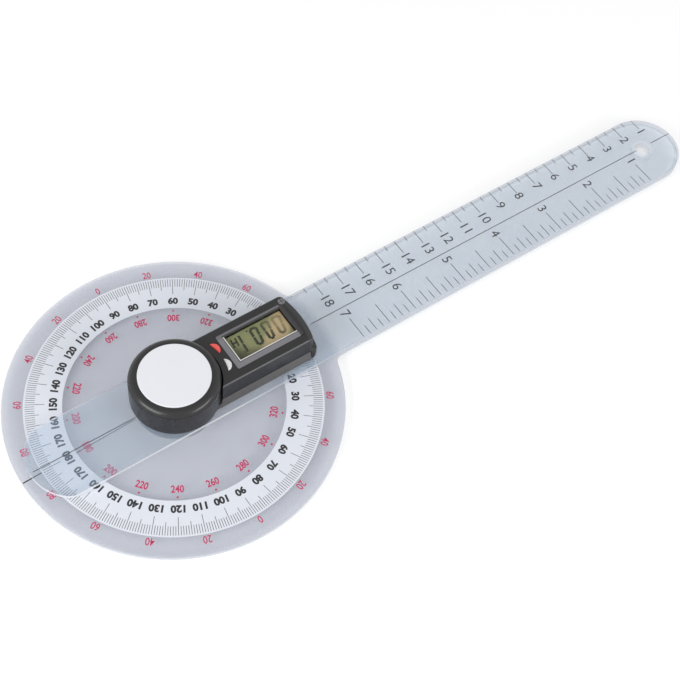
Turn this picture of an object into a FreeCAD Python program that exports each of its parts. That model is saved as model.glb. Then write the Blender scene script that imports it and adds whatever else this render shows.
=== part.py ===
"""Angle finder: a clear protractor plate with a fixed arm, and a clear moving arm with a digital readout.

The pivot axis is Z, the resting plane is z = 0, and both arms point along +X towards the hanging hole.
All sizes are in millimetres.
"""
import FreeCAD, Part
import math
import os
import Sketcher

SIZES = {
    # Clear plates
    "disc_radius": 64.6,
    "arm_width": 32.3,
    "hole_reach": 237.85,
    "hang_hole_radius": 3.0,
    "tail_reach": 60.8,
    "tail_round": 19.0,
    "tail_corner": 7.0,
    "plate_thick": 1.4,
    "plate_gap": 0.8,
    "junction_radius": 4.5,

    # Foot under the disc and its screws
    "base_margin": 0.9,
    "base_thick": 1.6,
    "base_bevel": 0.5,
    "base_screw_radius": 1.0,
    "base_screw_head": 1.85,
    "base_screw_head_thick": 0.85,
    "screw_sink": 0.1,
    "screw_hole_gap": 0.1,

    # Pivot stack
    "ring_thick": 0.5,
    "ring_gap": 0.9,
    "ring_width": 7.2,
    "slip_gap": 0.05,
    "sleeve_radius": 6.5,
    "sleeve_step": 1.0,
    "running_gap": 0.06,
    "seat_gap": 0.05,
    "bolt_radius": 2.5,
    "bolt_head_rim": 2.1,
    "bolt_flat_depth": 0.7,
    "bolt_bevel": 0.4,
    "well_roof": 0.4,

    # Angle sensor in the hub
    "rotor_edge_gap": 1.2,
    "rotor_thick": 0.8,
    "rotor_gap": 0.5,
    "clip_thick": 0.6,
    "clip_width": 1.7,
    "clip_mouth": 3.0,
    "clip_cover": 0.2,
    "board_thick": 0.8,
    "board_gap": 0.4,
    "neck_inset": 1.1,
    "neck_length": 7.8,
    "cover_inset": 0.4,
    "cover_wall": 1.0,
    "cover_gap": 0.3,
    "cover_roof": 1.2,
    "cover_bore_gap": 0.7,
    "washer_thick": 0.7,
    "washer_rim": 0.7,

    # Lock knob
    "knob_radius": 17.3,
    "knob_foot_gap": 0.35,
    "knob_height": 13.65,
    "knob_shoulder": 3.0,
    "knob_hem": 0.6,
    "knob_wall": 1.9,
    "knob_roof": 2.4,
    "hub_clear": 0.4,
    "boss_wall": 5.0,
    "boss_gap": 0.3,
    "rib_thick": 1.0,
    "rib_sink": 1.4,
    "insert_wall": 1.5,
    "insert_inset": 0.4,
    "insert_collar": 0.5,
    "face_rim": 0.6,
    "face_gap": 0.1,
    "face_sink": 0.7,
    "face_thick": 1.0,
    "face_bevel": 0.2,
    "bolt_end_gap": 0.6,

    # Case of the readout
    "knob_clear": 0.7,
    "case_wall": 1.2,
    "case_side_wall": 0.7,
    "case_draft": 0.2,
    "case_slope": 1.0,
    "seam_step": 0.2,
    "seam_rise": 3.8,
    "case_floor": 1.0,
    "case_roof": 1.5,
    "end_wall": 1.6,
    "roof_margin": 1.5,
    "roof_end_radius": 40.0,
    "roof_corner": 2.0,
    "case_edge": 0.8,
    "tunnel_gap": 0.2,

    # Screws of the case
    "post_setback": 5.3,
    "post_radius": 1.9,
    "post_sink": 0.3,
    "case_screw_radius": 0.9,
    "case_screw_head": 1.8,
    "case_screw_head_thick": 0.8,
    "case_screw_end": 1.0,
    "tray_screw_gap": 0.1,
    "tray_screw_head": 1.4,
    "tray_screw_head_thick": 0.9,
    "tray_screw_radius": 0.75,
    "tray_screw_sink": 0.2,
    "tray_screw_slot": 0.4,

    # Battery door, tray and cell
    "door_proud": 2.0,
    "door_drop": 4.5,
    "door_gap": 0.3,
    "door_round": 2.0,
    "grip_radius": 2.5,
    "grip_depth": 0.8,
    "tray_gap": 4.3,
    "tray_end_wall": 1.2,
    "tray_door_wall": 0.8,
    "tray_side_wall": 0.8,
    "tray_side_gap": 0.2,
    "tray_floor": 0.6,
    "tray_wall_rise": 1.8,
    "tray_lift": 0.3,
    "cell_radius": 10.0,
    "cell_thick": 3.2,
    "cell_gap": 0.1,
    "cell_shoulder": 1.4,
    "cell_step": 0.25,
    "contact_width": 4.0,
    "contact_thick": 0.2,
    "contact_gap": 0.25,
    "contact_slot_gap": 1.0,
    "contact_foot": 4.0,
    "contact_tip": 3.0,
    "contact_past_cell": 1.4,
    "negative_gap": 0.6,
    "positive_length": 11.0,

    # Boards and display
    "board_rise": 1.7,
    "main_board_gap": 0.4,
    "connector_setback": 4.2,
    "connector_length": 3.0,
    "connector_inset": 1.5,
    "blob_gap": 1.2,
    "blob_rise": 1.2,
    "switch_length": 4.0,
    "switch_width": 2.4,
    "switch_rise": 1.2,
    "switch_edge_gap": 0.1,
    "lcd_rise": 1.8,
    "lcd_sheet": 0.7,
    "lcd_ledge": 1.8,
    "lcd_side_gap": 0.4,
    "lcd_end_gap": 0.3,
    "lcd_under_bezel": 0.1,
    "zebra_width": 1.2,
    "zebra_end_gap": 2.45,
    "bezel_thick": 1.2,
    "bezel_proud": 0.3,
    "bezel_gap": 0.1,
    "bezel_corner": 0.5,
    "bezel_side_rim": 1.0,
    "rim_start": 2.8,
    "rim_end": 1.7,
    "border_start": 1.1,
    "border_end": 0.6,
    "border_near": 1.85,
    "border_far": 0.6,
    "lens_ledge": 0.4,
    "lens_gap": 0.1,
    "lens_sink": 0.4,

    # Buttons
    "button_setback": 2.4,
    "button_bulge": 2.0,
    "button_length": 5.4,
    "button_proud": 0.4,
    "button_gap": 0.2,
    "button_rim": 0.5,
    "button_rim_thick": 0.4,
    "button_edge": 0.25,
    "button_bezel_gap": 0.3,

    # One overrun for every cut that runs out of its piece
    "overrun": 1.0,
}

BASE_SCREW_COUNT = 3
KNOB_RIB_COUNT = 6
SHOULDER_COUNT = 4
BUTTON_ANGLE = 11.7

ORIGIN_PLANES = {"XY": "XY_Plane", "XZ": "XZ_Plane", "YZ": "YZ_Plane"}
LEFT = 1
RIGHT = -1

doc = FreeCAD.newDocument("AngleFinder")
pieces = []


class Size:
    """A length or place: its number now, and the formula on the sheet that drives it."""

    def __init__(self, number, formula):
        self.number = number
        self.formula = formula

    def __add__(self, other):
        return joined(self, "+", other, self.number + sized(other).number)

    def __sub__(self, other):
        return joined(self, "-", other, self.number - sized(other).number)

    def __mul__(self, other):
        return joined(self, "*", other, self.number * sized(other).number)

    def __truediv__(self, other):
        return joined(self, "/", other, self.number / sized(other).number)

    def __neg__(self):
        return Size(-self.number, f"(-1 * {self.formula})")


def sized(item):
    """A Size as it is, and a plain count or share as a Size."""
    if isinstance(item, Size):
        return item
    return Size(float(item), repr(float(item)))


def joined(first, sign, second, number):
    """The Size that two others make together."""
    return Size(number, f"({first.formula} {sign} {sized(second).formula})")


def leg(slant, other):
    """The second short side of a right triangle, from its long side and its first short side."""
    number = math.sqrt(slant.number ** 2 - other.number ** 2)
    return Size(number, f"sqrt({slant.formula}^2 - {other.formula}^2)")


ZERO = sized(0)


def write_sheet():
    """Puts the driving sizes on a sheet, one named cell each, and returns them as Sizes."""
    sheet = doc.addObject("Spreadsheet::Sheet", "Sizes")
    named = {}
    for row, (name, number) in enumerate(SIZES.items(), start=1):
        sheet.set(f"A{row}", name)
        sheet.set(f"B{row}", str(number))
        sheet.setAlias(f"B{row}", name)
        named[name] = Size(number, f"Sizes.{name}")
    doc.recompute()
    return named


S = write_sheet()

# Levels up the pivot axis
PLATE_TOP = S["base_thick"] + S["plate_thick"]
RING_TOP = PLATE_TOP + S["ring_thick"]
ARM_FOOT = PLATE_TOP + S["plate_gap"]
ARM_TOP = ARM_FOOT + S["plate_thick"]
FLOOR_TOP = ARM_TOP + S["case_floor"]
HUB_TOP = FLOOR_TOP + S["board_thick"]
SEAM = ARM_TOP + S["seam_rise"]
ROTOR_FOOT = HUB_TOP + S["rotor_gap"]
ROTOR_TOP = ROTOR_FOOT + S["rotor_thick"]
SLEEVE_TOP = ROTOR_TOP + S["clip_thick"] + S["clip_cover"]
COVER_CEILING = SLEEVE_TOP + S["cover_gap"]
COVER_TOP = COVER_CEILING + S["cover_roof"]
WASHER_TOP = COVER_TOP + S["washer_thick"]
KNOB_FOOT = HUB_TOP + S["knob_foot_gap"]
KNOB_TOP = KNOB_FOOT + S["knob_height"]
FACE_FOOT = KNOB_TOP - S["face_sink"]
BOSS_FOOT = WASHER_TOP + S["boss_gap"]
BOLT_TOP = FACE_FOOT - S["bolt_end_gap"]
BOLT_HEAD_TOP = S["base_thick"] - S["well_roof"]
TRAY_FOOT = FLOOR_TOP + S["tray_lift"]
CELL_FOOT = TRAY_FOOT + S["tray_floor"]
CELL_TOP = CELL_FOOT + S["cell_thick"]
BOARD_FOOT = CELL_TOP + S["board_rise"]
BOARD_TOP = BOARD_FOOT + S["board_thick"]
LCD_FOOT = BOARD_TOP + S["lcd_rise"]
LCD_MIDDLE = LCD_FOOT + S["lcd_sheet"]
LCD_TOP = LCD_MIDDLE + S["lcd_sheet"]
BEZEL_FOOT = LCD_TOP + S["lcd_under_bezel"]
BEZEL_TOP = BEZEL_FOOT + S["bezel_thick"]
CASE_TOP = BEZEL_TOP - S["bezel_proud"]
ROOF_FOOT = CASE_TOP - S["case_roof"]
DOOR_TOP = CASE_TOP - S["door_drop"]
DOOR_ROOM = DOOR_TOP + S["tunnel_gap"]

# Radii about the pivot
JOURNAL_HOLE = S["sleeve_radius"] + S["running_gap"]
PLATE_HOLE = S["sleeve_radius"] + S["seat_gap"]
SLEEVE_NECK = S["sleeve_radius"] - S["sleeve_step"]
RING_INNER = S["sleeve_radius"] + S["ring_gap"]
RING_OUTER = RING_INNER + S["ring_width"]
SCREW_CIRCLE = (RING_INNER + RING_OUTER) / 2
BASE_RADIUS = RING_OUTER + S["base_margin"]
INSERT_RADIUS = S["bolt_radius"] + S["insert_wall"]
BOSS_RADIUS = INSERT_RADIUS + S["boss_wall"]
KNOB_INNER = S["knob_radius"] - S["knob_wall"]
FACE_RADIUS = S["knob_radius"] - S["knob_shoulder"] - S["face_rim"]
HUB_RADIUS = KNOB_INNER - S["hub_clear"]
HUB_ROOM = HUB_RADIUS - S["case_wall"]
COVER_RADIUS = HUB_RADIUS - S["cover_inset"]
COVER_INNER = COVER_RADIUS - S["cover_wall"]
KNOB_ROOM = S["knob_radius"] + S["knob_clear"]
INNER_ROOM = KNOB_ROOM + S["case_wall"]
BOARD_ROUND = INNER_ROOM + S["board_gap"]
BUTTON_ARC = KNOB_ROOM + S["button_setback"]

# Half widths, from the cell outwards to the case, then from the case screws inwards to the window
ARM_HALF = S["arm_width"] / 2
TRAY_HALF = S["cell_radius"] + S["cell_gap"] + S["tray_side_wall"]
CAVITY_HALF = TRAY_HALF + S["tray_side_gap"]
TOP_HALF = CAVITY_HALF + S["case_side_wall"]
LOW_HALF = TOP_HALF + S["case_draft"]
SEAM_HALF = LOW_HALF + S["seam_step"]
FOOT_HALF = SEAM_HALF + S["case_slope"]
BOARD_HALF = CAVITY_HALF - S["main_board_gap"]
POST_SPREAD = CAVITY_HALF + S["post_sink"] - S["post_radius"]
POST_EDGE = POST_SPREAD - S["post_radius"]
NECK_HALF = POST_EDGE - S["neck_inset"]
LCD_HALF = POST_EDGE - S["lcd_side_gap"]
BEZEL_HALF = LCD_HALF + S["bezel_side_rim"]
WINDOW_NEAR = LCD_HALF - S["border_near"]
WINDOW_FAR = LCD_HALF - S["border_far"]
ZEBRA_FAR = LCD_HALF - (S["lcd_ledge"] - S["zebra_width"]) / 2
ZEBRA_NEAR = ZEBRA_FAR - S["zebra_width"]

# Reaches along the arm, from the knob out to the battery door
POST_REACH = INNER_ROOM + S["post_setback"]
NECK_END = INNER_ROOM + S["neck_length"]
TRAY_START = NECK_END + S["tray_gap"]
CELL_REACH = TRAY_START + S["tray_end_wall"] + S["cell_gap"] + S["cell_radius"]
DOOR_START = CELL_REACH + S["cell_radius"] + S["cell_gap"] + S["tray_door_wall"]
CASE_END = DOOR_START - S["door_gap"]
CAVITY_END = CASE_END - S["end_wall"]
LCD_END = CAVITY_END - S["lcd_end_gap"]
WINDOW_END = LCD_END - S["border_end"]
BEZEL_END = WINDOW_END + S["rim_end"]
BEZEL_START = BUTTON_ARC + S["button_bulge"] + S["button_bezel_gap"]
WINDOW_START = BEZEL_START + S["rim_start"]
LCD_START = WINDOW_START - S["border_start"]
CONTACT_END = CELL_REACH + S["contact_past_cell"]
DIAGONAL_SHARE = round(math.sqrt(0.5), 9)
CORNER_STEP = (S["bezel_corner"] + S["tray_screw_head"] + S["tray_screw_gap"]) * DIAGONAL_SHARE
TRAY_SCREW_REACH = BEZEL_END - S["bezel_corner"] + CORNER_STEP
TRAY_SCREW_SPREAD = BEZEL_HALF - S["bezel_corner"] + CORNER_STEP
ROOF_REACH = TRAY_SCREW_REACH + S["tray_screw_head"] + S["roof_margin"]
DOOR_REACH = ROOF_REACH + S["door_proud"]


def bind(thing, place, size):
    """Ties one property of an object to the sheet."""
    thing.setExpression(place, size.formula)


def new_body(label, height=ZERO):
    """A named body whose own origin stands at a height on the pivot axis."""
    body = doc.addObject("PartDesign::Body", label)
    body.Label = label
    bind(body, "Placement.Base.z", height)
    pieces.append(body)
    return body


def new_sketch(body, plane, height=ZERO):
    """A sketch on one of the body's own planes, moved along its normal."""
    sketch = body.newObject("Sketcher::SketchObject", body.Label + "_sketch")
    role = ORIGIN_PLANES[plane]
    support = [item for item in body.Origin.OriginFeatures if item.Role == role][0]
    sketch.AttachmentSupport = [(support, "")]
    sketch.MapMode = "FlatFace"
    bind(sketch, "AttachmentOffset.Base.z", height)
    return sketch


def pin(sketch, index, end, corner):
    """Holds one point of a sketch at its place."""
    for kind, size, axis in (("DistanceX", corner[0], -2), ("DistanceY", corner[1], -1)):
        if size.number == 0:
            sketch.addConstraint(Sketcher.Constraint("PointOnObject", index, end, axis))
            continue
        number = sketch.addConstraint(Sketcher.Constraint(kind, -1, 1, index, end, size.number))
        bind(sketch, f"Constraints[{number}]", size)


def hold_radius(sketch, index, radius):
    """Ties the radius of a circle or an arc to the sheet."""
    number = sketch.addConstraint(Sketcher.Constraint("Radius", index, radius.number))
    bind(sketch, f"Constraints[{number}]", radius)


def arc_between(first, last, radius, turn, long_way):
    """The arc from one point to the next, as a curve that runs anticlockwise."""
    start = FreeCAD.Vector(first[0].number, first[1].number, 0)
    end = FreeCAD.Vector(last[0].number, last[1].number, 0)
    chord = end - start
    offset = math.sqrt(max(radius.number ** 2 - (chord.Length / 2) ** 2, 0))
    side = -turn if long_way else turn
    normal = FreeCAD.Vector(-chord.y, chord.x, 0).normalize()
    centre = start + chord / 2 + normal * (side * offset)
    if turn == RIGHT:
        start, end = end, start
    start_angle = math.atan2(start.y - centre.y, start.x - centre.x)
    end_angle = math.atan2(end.y - centre.y, end.x - centre.x)
    if end_angle <= start_angle:
        end_angle += 2 * math.pi
    circle = Part.Circle(centre, FreeCAD.Vector(0, 0, 1), radius.number)
    return Part.ArcOfCircle(circle, start_angle, end_angle)


def draw_outline(sketch, corners):
    """Draws a closed outline. Each corner is (x, y), or (x, y, radius, turn, long_way) after a round run."""
    count = len(corners)
    ends = []
    for place in range(count):
        first, last = corners[place], corners[(place + 1) % count]
        if len(last) == 2:
            points = [FreeCAD.Vector(item[0].number, item[1].number, 0) for item in (first, last)]
            index = sketch.addGeometry(Part.LineSegment(*points), False)
            ends.append((index, 1, 2))
            continue
        radius, turn, long_way = last[2:]
        index = sketch.addGeometry(arc_between(first, last, radius, turn, long_way), False)
        ends.append((index, 1, 2) if turn == LEFT else (index, 2, 1))
    for place in range(count):
        index, start, end = ends[place]
        following, following_start, following_end = ends[(place + 1) % count]
        sketch.addConstraint(Sketcher.Constraint("Coincident", index, end, following, following_start))
    for place in range(count):
        pin(sketch, ends[place][0], ends[place][1], corners[place][:2])
    for place in range(count):
        last = corners[(place + 1) % count]
        if len(last) > 2:
            hold_radius(sketch, ends[place][0], last[2])


def draw_circle(sketch, centre, radius):
    """Draws a pinned circle."""
    middle = FreeCAD.Vector(centre[0].number, centre[1].number, 0)
    circle = Part.Circle(middle, FreeCAD.Vector(0, 0, 1), radius.number)
    index = sketch.addGeometry(circle, False)
    pin(sketch, index, 3, centre)
    hold_radius(sketch, index, radius)


def draw_box(sketch, low, high):
    """Draws a rectangle from its low corner to its high corner."""
    draw_outline(sketch, [(low[0], low[1]), (high[0], low[1]), (high[0], high[1]), (low[0], high[1])])


def add_pad(body, sketch, length):
    """Raises a sketch along its normal."""
    pad = body.newObject("PartDesign::Pad", body.Label + "_pad")
    pad.Profile = sketch
    bind(pad, "Length", length)
    doc.recompute()
    return pad


def add_cut(body, sketch, depth):
    """Cuts a sketch along its normal, away from the sketch's plane."""
    before = body.Shape.Volume
    pocket = body.newObject("PartDesign::Pocket", body.Label + "_cut")
    pocket.Profile = sketch
    pocket.Reversed = True
    bind(pocket, "Length", depth)
    doc.recompute()
    if not body.Shape.Volume < before:
        raise RuntimeError(f"a cut in {body.Label} takes nothing away")
    return pocket


def cut_holes(body, height, places, radius, depth):
    """Cuts round holes upwards from a height in the body."""
    sketch = new_sketch(body, "XY", height)
    for place in places:
        draw_circle(sketch, place, radius)
    return add_cut(body, sketch, depth)


def cut_window(body, height, low, high, depth):
    """Cuts a rectangular opening upwards from a height in the body."""
    sketch = new_sketch(body, "XY", height)
    draw_box(sketch, low, high)
    return add_cut(body, sketch, depth)


def add_pattern(body, feature, count):
    """Repeats a feature round the pivot axis."""
    pattern = body.newObject("PartDesign::PolarPattern", body.Label + "_pattern")
    pattern.Originals = [feature]
    pattern.Axis = (feature.Profile[0], ["N_Axis"])
    pattern.Angle = 360
    pattern.Occurrences = count
    body.Tip = pattern
    doc.recompute()
    return pattern


def turned_body(label, height, outline):
    """A body turned about the pivot axis from an outline of (radius, height)."""
    body = new_body(label, height)
    sketch = new_sketch(body, "XZ")
    draw_outline(sketch, outline)
    turn = body.newObject("PartDesign::Revolution", label + "_turn")
    turn.Profile = sketch
    turn.ReferenceAxis = (sketch, ["V_Axis"])
    turn.Angle = 360
    doc.recompute()
    return body


def ring_body(label, height, inner, outer, thick):
    """A flat ring."""
    corners = [(inner, ZERO), (outer, ZERO), (outer, thick), (inner, thick)]
    return turned_body(label, height, corners)


def edge_names(body, wanted):
    """The names of the edges of a body whose middle point passes a test."""
    names = []
    for number, edge in enumerate(body.Shape.Edges, start=1):
        middle = edge.valueAt((edge.FirstParameter + edge.LastParameter) / 2)
        if wanted(middle, edge):
            names.append(f"Edge{number}")
    return names


def round_edges(body, radius, wanted, kind="Fillet"):
    """Rounds or bevels the edges that pass a test."""
    base = body.Tip
    names = edge_names(body, wanted)
    if not names:
        raise RuntimeError(f"no edge of {body.Label} to round")
    finish = body.newObject("PartDesign::" + kind, body.Label + "_edge")
    finish.Base = (base, names)
    bind(finish, "Radius" if kind == "Fillet" else "Size", radius)
    doc.recompute()
    return finish


def near(first, second):
    """True where two numbers are the same place."""
    return abs(first - second.number) < 1e-4


def screw_places(circle, count):
    """Places evenly round the pivot, half a step off the arm."""
    step = 360 / count
    places = []
    for number in range(count):
        angle = step * (number + 0.5)
        across = math.cos(math.radians(angle))
        along = math.sin(math.radians(angle))
        places.append((circle * round(across, 9), circle * round(along, 9)))
    return places


def add_cylinder(name, place, height, radius, length):
    """A plain round bar, upright."""
    bar = doc.addObject("Part::Cylinder", name)
    bind(bar, "Radius", radius)
    bind(bar, "Height", length)
    bind(bar, "Placement.Base.x", place[0])
    bind(bar, "Placement.Base.y", place[1])
    bind(bar, "Placement.Base.z", height)
    return bar


def add_group(label, members):
    """Separate solids under one name."""
    group = doc.addObject("Part::Compound", label)
    group.Label = label
    group.Links = members
    pieces.append(group)
    return group


def cheese_screw(name, place, foot, head, head_thick, radius, length):
    """A screw whose flat head is at its foot."""
    cap = add_cylinder(name + "_head", place, foot, head, head_thick)
    shank = add_cylinder(name + "_shank", place, foot + head_thick, radius, length - head_thick)
    screw = doc.addObject("Part::MultiFuse", name)
    screw.Shapes = [cap, shank]
    return screw


def plate_outline(body, corners, holes, thick):
    """Raises a plate from its outline and its round holes."""
    sketch = new_sketch(body, "XY")
    draw_outline(sketch, corners)
    for centre, radius in holes:
        draw_circle(sketch, centre, radius)
    return add_pad(body, sketch, thick)


def arm_tip_corners():
    """The round tip of an arm, from its low edge to its high edge."""
    tip = S["hole_reach"] + ARM_HALF
    return [
        (S["hole_reach"], -ARM_HALF),
        (tip, ZERO, ARM_HALF, LEFT, False),
        (S["hole_reach"], ARM_HALF, ARM_HALF, LEFT, False),
    ]


def make_protractor_plate():
    """The disc and the fixed arm, one clear plate with hollow corners where they meet."""
    body = new_body("protractor_plate", S["base_thick"])
    corner_y = ARM_HALF + S["junction_radius"]
    corner_span = S["disc_radius"] + S["junction_radius"]
    corner_x = leg(corner_span, corner_y)
    disc_x = corner_x * S["disc_radius"] / corner_span
    disc_y = corner_y * S["disc_radius"] / corner_span
    corners = arm_tip_corners() + [
        (corner_x, ARM_HALF),
        (disc_x, disc_y, S["junction_radius"], RIGHT, False),
        (disc_x, -disc_y, S["disc_radius"], LEFT, True),
        (corner_x, -ARM_HALF, S["junction_radius"], RIGHT, False),
    ]
    holes = [((ZERO, ZERO), PLATE_HOLE), ((S["hole_reach"], ZERO), S["hang_hole_radius"])]
    screw_hole = S["base_screw_radius"] + S["screw_hole_gap"]
    holes += [(place, screw_hole) for place in screw_places(SCREW_CIRCLE, BASE_SCREW_COUNT)]
    plate_outline(body, corners, holes, S["plate_thick"])


def make_moving_arm_plate():
    """The upper arm, with its round tail behind the pivot and two holes for the case screws."""
    body = new_body("moving_arm_plate", ARM_FOOT)
    tail_x = S["tail_round"] - S["tail_reach"] - leg(S["tail_round"], ARM_HALF)
    corners = arm_tip_corners() + [
        (tail_x, ARM_HALF),
        (tail_x, -ARM_HALF, S["tail_round"], LEFT, False),
    ]
    holes = [((ZERO, ZERO), JOURNAL_HOLE), ((S["hole_reach"], ZERO), S["hang_hole_radius"])]
    plate_outline(body, corners, holes, S["plate_thick"])

    def tail_edge(middle, edge):
        return edge.BoundBox.ZLength > S["plate_thick"].number / 2 and near(middle.x, tail_x)

    round_edges(body, S["tail_corner"], tail_edge)
    cut_screw_seats(body, post_places(), S["case_screw_head"], S["case_screw_head_thick"],
                    S["case_screw_radius"], S["plate_thick"])


def cut_screw_seats(body, places, head, head_thick, radius, thick):
    """Sinks screw heads from below: a wide hole for each head and a slim one through."""
    gap = S["screw_hole_gap"]
    cut_holes(body, -S["overrun"], places, radius + gap, thick + S["overrun"] * 2)
    cut_holes(body, -S["overrun"], places, head + gap, S["overrun"] + S["screw_sink"] + head_thick)


def post_places():
    """The two case screws, between the knob and the battery tray."""
    return [(POST_REACH, POST_SPREAD), (POST_REACH, -POST_SPREAD)]


def head_corners(grow):
    """The bolt head's outline, round with two flats that keep it from turning, made larger by a gap."""
    radius = S["bolt_radius"] + S["bolt_head_rim"] + grow
    flat = radius - S["bolt_flat_depth"]
    across = leg(radius, flat)
    return [
        (across, -flat), (across, flat, radius, LEFT, False),
        (-across, flat), (-across, -flat, radius, LEFT, False),
    ]


def make_base_flange():
    """The foot: a bevelled disc with a flat-sided well for the bolt head and three screw seats."""
    radius, thick, bevel = BASE_RADIUS, S["base_thick"], S["base_bevel"]
    bore = S["bolt_radius"] + S["seat_gap"]
    body = turned_body("base_flange", ZERO, [
        (bore, ZERO), (radius - bevel, ZERO), (radius, bevel), (radius, thick), (bore, thick),
    ])
    well = new_sketch(body, "XY", -S["overrun"])
    draw_outline(well, head_corners(S["seat_gap"]))
    add_cut(body, well, BOLT_HEAD_TOP + S["overrun"])
    cut_screw_seats(body, screw_places(SCREW_CIRCLE, BASE_SCREW_COUNT), S["base_screw_head"],
                    S["base_screw_head_thick"], S["base_screw_radius"], thick)


def make_base_screws():
    """Three screws from the foot up to the top of the clamp ring."""
    length = RING_TOP - S["screw_sink"]
    screws = []
    for number, place in enumerate(screw_places(SCREW_CIRCLE, BASE_SCREW_COUNT), start=1):
        screws.append(cheese_screw(f"base_screw_{number}", place, S["screw_sink"], S["base_screw_head"],
                                   S["base_screw_head_thick"], S["base_screw_radius"], length))
    add_group("base_screws", screws)


def make_clamp_ring():
    """The threaded ring on the disc."""
    body = ring_body("clamp_ring", PLATE_TOP, RING_INNER, RING_OUTER, S["ring_thick"])
    cut_holes(body, -S["overrun"], screw_places(SCREW_CIRCLE, BASE_SCREW_COUNT),
              S["base_screw_radius"], S["ring_thick"] + S["overrun"] * 2)


def make_slip_washer():
    """The slippery ring that carries the moving arm."""
    thick = S["plate_gap"] - S["ring_thick"] - S["slip_gap"]
    ring_body("slip_washer", RING_TOP, RING_INNER, RING_OUTER, thick)


def make_pivot_sleeve():
    """The journal: wide where the arm turns, with a neck for the rotor."""
    bore = S["bolt_radius"] + S["seat_gap"]
    step = ROTOR_FOOT - S["base_thick"]
    top = SLEEVE_TOP - S["base_thick"]
    turned_body("pivot_sleeve", S["base_thick"], [
        (bore, ZERO), (S["sleeve_radius"], ZERO), (S["sleeve_radius"], step),
        (SLEEVE_NECK, step), (SLEEVE_NECK, top), (bore, top),
    ])


def make_pivot_bolt():
    """The pivot bolt: a flat-sided head, flush with the foot, and a shank that the knob's thread is on."""
    bevel = S["bolt_bevel"]
    body = turned_body("pivot_bolt", ZERO, [
        (ZERO, ZERO), (S["bolt_radius"], ZERO), (S["bolt_radius"], BOLT_TOP - bevel),
        (S["bolt_radius"] - bevel, BOLT_TOP), (ZERO, BOLT_TOP),
    ])
    head = new_sketch(body, "XY")
    draw_outline(head, head_corners(ZERO))
    add_pad(body, head, BOLT_HEAD_TOP)


def make_encoder_rotor():
    """The sensor's rotor plate on the neck of the sleeve."""
    outer = COVER_INNER - S["rotor_edge_gap"]
    ring_body("encoder_rotor", ROTOR_FOOT, SLEEVE_NECK, outer, S["rotor_thick"])


def make_rotor_clip():
    """An open spring clip on the neck of the sleeve."""
    outer = SLEEVE_NECK + S["clip_width"]
    body = ring_body("rotor_clip", ROTOR_TOP, SLEEVE_NECK, outer, S["clip_thick"])
    half = S["clip_mouth"] / 2
    cut_window(body, -S["overrun"], (ZERO, -half), (outer + S["overrun"], half),
               S["clip_thick"] + S["overrun"] * 2)


def make_encoder_cover():
    """The cap over the sensor, on the rim of the hub."""
    rise = COVER_TOP - HUB_TOP
    ceiling = COVER_CEILING - HUB_TOP
    bore = S["bolt_radius"] + S["cover_bore_gap"]
    turned_body("encoder_cover", HUB_TOP, [
        (COVER_INNER, ZERO), (COVER_RADIUS, ZERO), (COVER_RADIUS, rise), (bore, rise),
        (bore, ceiling), (COVER_INNER, ceiling),
    ])


def make_friction_washer():
    """A soft washer under the knob's boss, drawn flat as it is when the knob is tight."""
    ring_body("friction_washer", COVER_TOP, INSERT_RADIUS, BOSS_RADIUS - S["washer_rim"], S["washer_thick"])


def shoulder_corners(outer, top, radius):
    """A quarter round from the wall up to the top, as equal straight steps."""
    corners = []
    for step in range(SHOULDER_COUNT + 1):
        angle = math.pi / 2 * step / SHOULDER_COUNT
        corners.append((outer - radius * round(1 - math.cos(angle), 9),
                        top - radius * round(1 - math.sin(angle), 9)))
    return corners


def make_lock_knob():
    """The knob: a round-shouldered cup with a central boss and ribs between boss and wall."""
    outer, shoulder, hem = S["knob_radius"], S["knob_shoulder"], S["knob_hem"]
    inner = KNOB_INNER
    seat = FACE_RADIUS + S["face_gap"]
    top = S["knob_height"]
    seat_foot = top - S["face_sink"]
    ceiling = seat_foot - S["knob_roof"]
    boss_foot = BOSS_FOOT - KNOB_FOOT
    body = turned_body("lock_knob", KNOB_FOOT, [
        (inner, ZERO), (outer - hem, ZERO), (outer, hem), *shoulder_corners(outer, top, shoulder),
        (seat, top), (seat, seat_foot), (INSERT_RADIUS, seat_foot),
        (INSERT_RADIUS, boss_foot), (BOSS_RADIUS, boss_foot),
        (BOSS_RADIUS, ceiling), (inner, ceiling),
    ])
    half = S["rib_thick"] / 2
    sketch = new_sketch(body, "XY", boss_foot + S["rib_sink"])
    draw_box(sketch, (BOSS_RADIUS - half, -half), (inner + half, half))
    rib = add_pad(body, sketch, ceiling - boss_foot - S["rib_sink"] + half)
    add_pattern(body, rib, KNOB_RIB_COUNT)


def make_knob_insert():
    """The threaded bush in the boss, with a collar at its top."""
    foot = BOSS_FOOT + S["insert_inset"]
    top = FACE_FOOT - foot
    bore = S["bolt_radius"] + S["running_gap"]
    waist = INSERT_RADIUS - S["insert_collar"]
    turned_body("knob_insert", foot, [
        (bore, ZERO), (waist, ZERO), (waist, top * 2 / 3), (INSERT_RADIUS, top * 2 / 3),
        (INSERT_RADIUS, top), (bore, top),
    ])


def make_knob_face():
    """The plain disc let into the top of the knob."""
    radius, thick, bevel = FACE_RADIUS, S["face_thick"], S["face_bevel"]
    turned_body("knob_face", FACE_FOOT, [
        (ZERO, ZERO), (radius, ZERO), (radius, thick - bevel), (radius - bevel, thick), (ZERO, thick),
    ])


def case_halves(height):
    """Half the width of the lower case at a height over the arm."""
    return FOOT_HALF - S["case_slope"] * height / S["seam_rise"]


def section_pad(body, start, low, high, length):
    """Raises a four-sided section along X. Low and high are (half width, height)."""
    sketch = new_sketch(body, "YZ", start)
    draw_outline(sketch, [(-low[0], low[1]), (low[0], low[1]), (high[0], high[1]), (-high[0], high[1])])
    return add_pad(body, sketch, length)


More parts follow.
